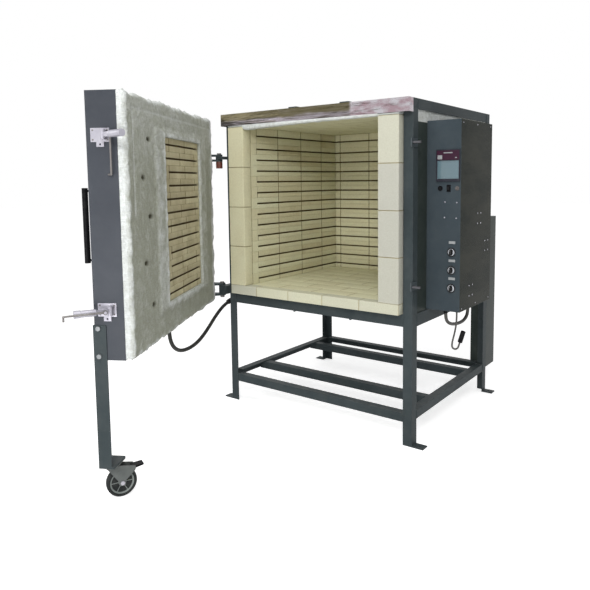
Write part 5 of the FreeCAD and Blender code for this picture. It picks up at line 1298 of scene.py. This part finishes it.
# %% [markdown]
# The knobs of the three selectors have a black skirt, a brushed dial and a black wing grip with a
# pale pointer line. Skirt and dial are turned, so the lathe makes them. The grip isn't round: it is a
# loft of squared-off ovals that narrow to the wing. Each knob rides on its own body, so it turns.

# %% Selector knobs
KNOB_X, BOX_FACE, LOWEST_KNOB, KNOB_STEP, OVAL_POINTS = 735.1, 206.7, 788, 89.5, 56
GRIP = ((-3.0, 9.0, 15.6), (-4.8, 9.0, 15.6), (-6.2, 8.2, 15.3), (-9.0, 7.0, 15.0),
        (-17.5, 6.2, 14.6), (-19.4, 5.4, 13.8), (-20.0, 4.2, 12.6))
SKIRT = ((3, 1.6), (3, -0.2), (21.9, -0.2), (22.4, -0.6), (22.4, -1.8), (21.6, -2.6), (3, -2.6))
DIAL = ((2, -2.2), (16.9, -2.2), (17.2, -2.6), (17.2, -3.4), (16.6, -3.9), (2, -3.9))
POINTER = ((-0.7, -19.6), (0.7, -19.6), (0.7, -20.3), (-0.7, -20.3))


def squared(value):
    """Bring a sine or cosine nearer to 1, which makes an oval squarer."""
    return math.copysign(abs(value) ** 0.8, value)


for number, body in enumerate(("knob_low", "knob_middle", "knob_high"), 1):
    level = LOWEST_KNOB + KNOB_STEP * (number - 1)
    turns = [math.tau * step / OVAL_POINTS for step in range(OVAL_POINTS)]
    shape = bmesh.new()
    loft(shape, [[Vector((KNOB_X + wide * squared(math.cos(turn)), BOX_FACE + y,
                          level + tall * squared(math.sin(turn)))) for turn in turns]
                 for y, wide, tall in GRIP])
    make_piece(f"knob_grip_{number}", shape, KILN, body, "knob_plastic", 40,
               (f"selector_knob_{number}",))
    for part, outline, slot in (("skirt", SKIRT, "knob_plastic"), ("dial", DIAL, "switch_metal")):
        shape = bmesh.new()
        lathe(shape, outline, (KNOB_X, BOX_FACE, level), Y_AXIS, 48)
        make_piece(f"knob_{part}_{number}", shape, KILN, body, slot, 30)
    shape = bmesh.new()
    loft(shape, [[Vector((KNOB_X + x, BOX_FACE + y, level + z)) for x, y in POINTER]
                 for z in (3.5, 12.0)])
    make_piece(f"knob_pointer_{number}", shape, KILN, body, "knob_plastic", 30, paint="label_plate")
print("knobs made, the highest at z =", level)

# %% [markdown]
# Small flat things dress the box: a rounded plate over each knob, and the controller's wine-red
# header with plain keys. They could be painted on by a mask, but as pieces they have an edge that
# catches the light. Each is a loft of a rounded outline with a fine chamfer.

# %% Plates of the box
def rounded_rectangle(wide, tall, radius, steps=4):
    """Points around a rectangle with round corners, once around."""
    points = []
    for x, z, start in ((1, 1, 0), (-1, 1, 90), (-1, -1, 180), (1, -1, 270)):
        points += arc((x * (wide / 2 - radius), z * (tall / 2 - radius)), radius, start, start + 90,
                      steps)
    return points


def plate_on_front(shape, x, z, wide, tall, radius, back, front):
    """A rounded plate that faces the front, from y = back to y = front."""
    edge = rounded_rectangle(wide, tall, radius)
    inner = rounded_rectangle(wide - 0.8, tall - 0.8, max(radius - 0.4, 0.3))
    loft(shape, [[Vector((x + a, y, z + b)) for a, b in outline]
                 for y, outline in ((back, edge), (front + 0.3, edge), (front, inner))])


LEGENDS = [(KNOB_X + 3, level, 34, 13, 2, BOX_FACE + 0.3, BOX_FACE - 0.9)
           for level in (836, 925, 1015)]
HEADER = [(715.1, 1440.5, 116, 46, 5, 199.1, 198.2)]
KEYS = [(674, 1431, 24, 20, 2, 198.3, 197.4), (716, 1452, 46, 5, 1.5, 198.3, 197.9),
        (757, 1428, 9, 5, 1.5, 198.3, 197.6)]
for name, plates, slot, paint in (
        ("legend_plates", LEGENDS, "switch_metal", "label_plate"),
        ("controller_header", HEADER, "controller_face", "controller_header"),
        ("controller_keys", KEYS, "controller_face", "label_plate")):
    shape = bmesh.new()
    for plate in plates:
        plate_on_front(shape, *plate)
    make_piece(name, shape, KILN, "kiln", slot, 30, paint=paint)
    print(name, "-", len(plates))

# %% [markdown]
# Every screw of the kiln is one lathe shape: a pan head with a recess pressed into its middle. The
# screws of the box hold its front, its three side covers and its shell. A linked copy of one mesh
# would be lighter, but one object for all screws of a surface keeps the list of pieces short.

# %% Screws of the box
PAN_HEAD = ((1, 0), (1.02, 0.18), (0.9, 0.4), (0.6, 0.55), (0.3, 0.56), (0.26, 0.3), (0.05, 0.28))
SIDE_FACE, COVERS = 780.1, ((452, 1123), (560, 973), (349, 762))


def screw(shape, place, axis, size):
    """Pan-head screw whose axis points out of the sheet. The head's radius is its size."""
    head = [(size * wide, size * high) for wide, high in PAN_HEAD]
    lathe(shape, [(size * 0.5, -0.5)] + head, place, axis, 14)


box_screws = [((x, 207, z), (0, -1, 0), 3.6)
              for x, z in ((699, 1213), (760, 1211), (697, 1137), (758, 1135))]
box_screws += [((SIDE_FACE, y + along, z + rise), X_AXIS, 4.0)
               for y, z in COVERS for along in (-22, 22) for rise in (-26, 26)]
box_screws += [((SIDE_FACE, y, z), X_AXIS, 3.2) for y in (232, 416, 600) for z in (686, 1596)]
shape = bmesh.new()
for place, axis, size in box_screws:
    screw(shape, place, axis, size)
make_piece("box_screws", shape, KILN, "kiln", "zinc_plate", 30)
print("box screws:", len(box_screws))

# %% [markdown]
# The stand is welded. A bead is a thin tube whose rings swell and shrink like the ripples that a
# welder leaves, laid where each rail meets its upright. A bump in the paint would give ripples too,
# but not the fillet that the outline shows.

# %% Weld beads
FRAME, SETBACK, BACK, LEG = 607.1, 44.5, 1060.3, 50.8
RAILS = ((602.5, 666), (1659.9, 1710.7))
SHELF_FRONT, SHELF_SIDE, FOOT, RIPPLE, RIPPLE_TURN = (122, 161), (134, 173), 6.5, 2.2, 2.1


def bead(shape, start, end, radius=2.6):
    """A weld bead from one point to another, thinner at its ends."""
    start, end = Vector(start), Vector(end)
    count = max(4, round((end - start).length / RIPPLE))
    side = (end - start).orthogonal().normalized()
    other = (end - start).normalized().cross(side)
    sections = []
    for number in range(count + 1):
        share = number / count
        swell = radius * (0.9 + 0.16 * math.sin(number * RIPPLE_TURN)
                          + 0.2 * rough(number, start.x, start.z, 5))
        swell *= min(1.0, 0.45 + 4 * min(share, 1 - share))
        sections.append(ring_points(start.lerp(end, share), side, other, swell, 8))
    loft(shape, sections)


shape = bmesh.new()
for side in (-1, 1):
    across, outside = side * (FRAME - LEG), side * FRAME
    for low, high in RAILS:
        bead(shape, (across, SETBACK, low + 3), (across, SETBACK, high - 3))
        for y in (SETBACK + LEG, BACK - LEG):
            bead(shape, (outside, y, low + 3), (outside, y, high - 3))
    bead(shape, *((across, SETBACK, z) for z in SHELF_FRONT))
    for y in (SETBACK + LEG, BACK - LEG):
        bead(shape, *((outside, y, z) for z in SHELF_SIDE))
    for y, inward in ((SETBACK, 1), (BACK, -1)):
        bead(shape, (outside, y + inward * 3, FOOT), (outside, y + inward * 47, FOOT))
    for y in (72, 90):
        for z in (677 + 25, 1463.5 + 8):
            bead(shape, (-FRAME, y - 12, z), (-FRAME, y + 4, z))
make_piece("weld_beads", shape, KILN, "kiln", "frame_paint", 50)
print("beads laid on", len(RAILS), "rails a side, feet and hinge brackets")

# %% [markdown]
# The two flat straps over the roof run forward over the trim, and their ends show above it in the
# photo. The straps themselves are CAD solids. Their ends are two short bars, lofted from rectangles.

# %% Strap ends
STRAP_HALF, STRAP_LOW, STRAP_HIGH = 25.4, 1710.9, 1716.6
STRAPS = (-80, 246)
shape = bmesh.new()
for x in STRAPS:
    loft(shape, [[Vector((x + across, y, z)) for across, z in (
        (-STRAP_HALF, STRAP_LOW), (STRAP_HALF, STRAP_LOW), (STRAP_HALF, STRAP_HIGH),
        (-STRAP_HALF, STRAP_HIGH))] for y in (-0.6, 44.4)])
make_piece("roof_strap_ends", shape, KILN, "kiln", "frame_paint", 30)
print("strap ends:", len(STRAPS))

# %% [markdown]
# The latches keep their CAD shapes, because plate, lever and rod must swing as the model says. What
# they lack is the four screws that hold each plate to the edge of the door. Beside them, under the
# upper hinge, a red-brown cap covers the nut: a turned shape, so the lathe again.

# %% Latch screws and hinge cap
LATCH_LEVELS, PLATE_OUTSIDE = (1511, 820), 1270.4
shape = bmesh.new()
for level in LATCH_LEVELS:
    for y in (-104.5, -163.5):
        for rise in (-18.5, 18.5):
            screw(shape, (PLATE_OUTSIDE, y, level + rise), X_AXIS, 3.8)
make_piece("latch_screws", shape, DOOR, "door", "pin_steel", 30)
CAP = ((12, 1402.6), (17.5, 1402.2), (19.4, 1404), (19.4, 1424), (19.8, 1425), (19.8, 1431),
       (19.4, 1432), (19.3, 1441), (18, 1443), (8, 1443))
shape = bmesh.new()
lathe(shape, CAP, (0, 0, 0), Z_AXIS, 28)
make_piece("hinge_nut_cap", shape, DOOR, "door", "tyre_rubber", 30, paint="hinge_cap")
print("cap from z =", CAP[0][1], "to", CAP[-1][1])

# %% [markdown]
# The caster has a dark rubber tyre on a grey hub with six ribs. Tyre and hub are turned about the
# axle, so the lathe makes them, and the ribs are small lofts from the axle to the rim. A plain disc
# would do from far away, but the photo shows the ribs. The caster's own coordinates start on its
# swivel, with x along the fork.

# %% Caster wheel
CASTER = DOOR @ Matrix.Translation((1204.0, -173.7, 0)) @ Matrix.Rotation(math.radians(127), 4, "Z")
AXLE = (36.6, 0, 63.5)
TYRE_HALF = [(50.0, 10), (50.3, 13.8), (52, 14.8), (55, 15.5), (59.5, 15.2), (62.2, 12.5), (63.2, 7)]
HUB_HALF = [(6.6, 14), (13, 14), (14.5, 12.5), (15, 9.5), (17, 8.5), (40, 8), (43, 9), (45, 12.5),
            (49.4, 13.6), (49.9, 11)]
RIBS, RIB_SECTIONS = 6, ((14.0, 12.0), (28, 10.2), (45.2, 11.8))


def both_faces(half, middle=()):
    """An outline from one face of the wheel over its rim to the other."""
    return [(radius, -along) for radius, along in half] + [*middle] + half[::-1]


shape = bmesh.new()
lathe(shape, both_faces(TYRE_HALF, [(63.5, 0)]), AXLE, Y_AXIS, 64)
make_piece("caster_tyre_tread", shape, CASTER, "caster_wheel", "tyre_rubber", 40, ("caster_tyre",))
shape = bmesh.new()
lathe(shape, both_faces(HUB_HALF), AXLE, Y_AXIS, 56)
for step in range(RIBS):
    turn = math.tau * step / RIBS
    out = Vector((math.cos(turn), 0, math.sin(turn)))
    across = Vector((-math.sin(turn), 0, math.cos(turn)))
    for face in (-1, 1):
        loft(shape, [[Vector(AXLE) + out * reach + across * a + Vector((0, face * b, 0))
                      for a, b in ((-2.2, 3.5), (2.2, 3.5), (1.4, high), (-1.4, high))]
                     for reach, high in RIB_SECTIONS])
make_piece("caster_hub_ribs", shape, CASTER, "caster_wheel", "hub_plastic", 40, ("caster_hub",))
shape = bmesh.new()
corners = [math.tau * step / 6 for step in range(6)]
for face in (-1, 1):
    loft(shape, [[Vector((AXLE[0] + size * math.cos(turn), face * y, AXLE[2] + size * math.sin(turn)))
                  for turn in corners] for y, size in ((23.2, 9.6), (27.0, 9.6), (28.4, 8.6))])
make_piece("axle_nuts", shape, CASTER, "caster", "zinc_plate", 25)
print("caster wheel:", RIBS, "ribs on each face")

# %% [markdown]
# The back of the kiln carries the thermocouple: a cast head outside, and a ceramic sheath that reaches
# through the wall into the chamber. Both are turned. The photo doesn't show them, but a kiln of this
# kind can't be controlled without one, so they have the usual shape and size.

# %% Thermocouple
PROBE, BACK_FACE, NECK, SHEATH_START = (0, 1239), 1061.5, 1077, 884
shape = bmesh.new()
lathe(shape, [(26, 0), (26, 6), (24, 8), (24, 24), (27, 25), (27.5, 27), (27.5, 33), (26.5, 35),
              (22, 38.5), (12, 40.5), (2, 41)], (PROBE[0], BACK_FACE, PROBE[1]), Y_AXIS, 40)
lathe(shape, [(9, 14), (9, 27), (7.5, 28), (7.5, 40), (5, 41)], (PROBE[0], NECK, PROBE[1]),
      (0, 0, -1), 20)
make_piece("thermocouple_head", shape, KILN, "kiln", "galvanised_sheet", 30, ("thermocouple",))
shape = bmesh.new()
lathe(shape, [(1, 0), (4, 1), (6, 4), (6, 176.5)], (PROBE[0], SHEATH_START, PROBE[1]), Y_AXIS, 24)
make_piece("thermocouple_sheath", shape, KILN, "kiln", "ceramic_sheath", 30)
print("sheath starts", DEEP - SHEATH_START, "mm in front of the back wall")

# %% [markdown]
# The back panel and the wireway beside it are thin sheet held by rows of screws, and the wireway has
# louvres on its side. Rows of screws say more about folded sheet than any bump could. They skip the
# places that the wireway covers.

# %% Case screws and wireway
WIREWAY_FACE = 1203.5
shape = bmesh.new()
back_screws = [(x, z) for x in (-590, -354, -118, 118, 354, 590) for z in (618, 1694)]
back_screws += [(x, z) for z in (860, 1080, 1300, 1500) for x in (-590, 590) if z > 1100 or x < 0]
for x, z in back_screws:
    screw(shape, (x, BACK_FACE, z), Y_AXIS, 4.4)
for z in (170, 400, 640, 860, 1070):
    for x in (515, 599):
        screw(shape, (x, WIREWAY_FACE, z), Y_AXIS, 3.6)
for side in (-1, 1):
    screw(shape, (side * FRAME, 22, 1678), (side, 0, 0), 4.6)
make_piece("case_screws", shape, KILN, "kiln", "zinc_plate", 30)
shape = bmesh.new()
for z in (380, 620, 850):
    loft(shape, [[Vector((x, y, z + rise)) for x, y in (
        (505.9, 1080), (507.6, 1080), (507.6, 1190), (505.9, 1190))] for rise in (-5, 5)])
loft(shape, [[Vector((x, y, z)) for x, y in (
    (509, 1202.9), (605, 1202.9), (605, 1204.7), (509, 1204.7))] for z in (150, 1087)])
make_piece("wireway_cover", shape, KILN, "kiln", "panel_paint", 30)
print("screws in the back panel:", len(back_screws))
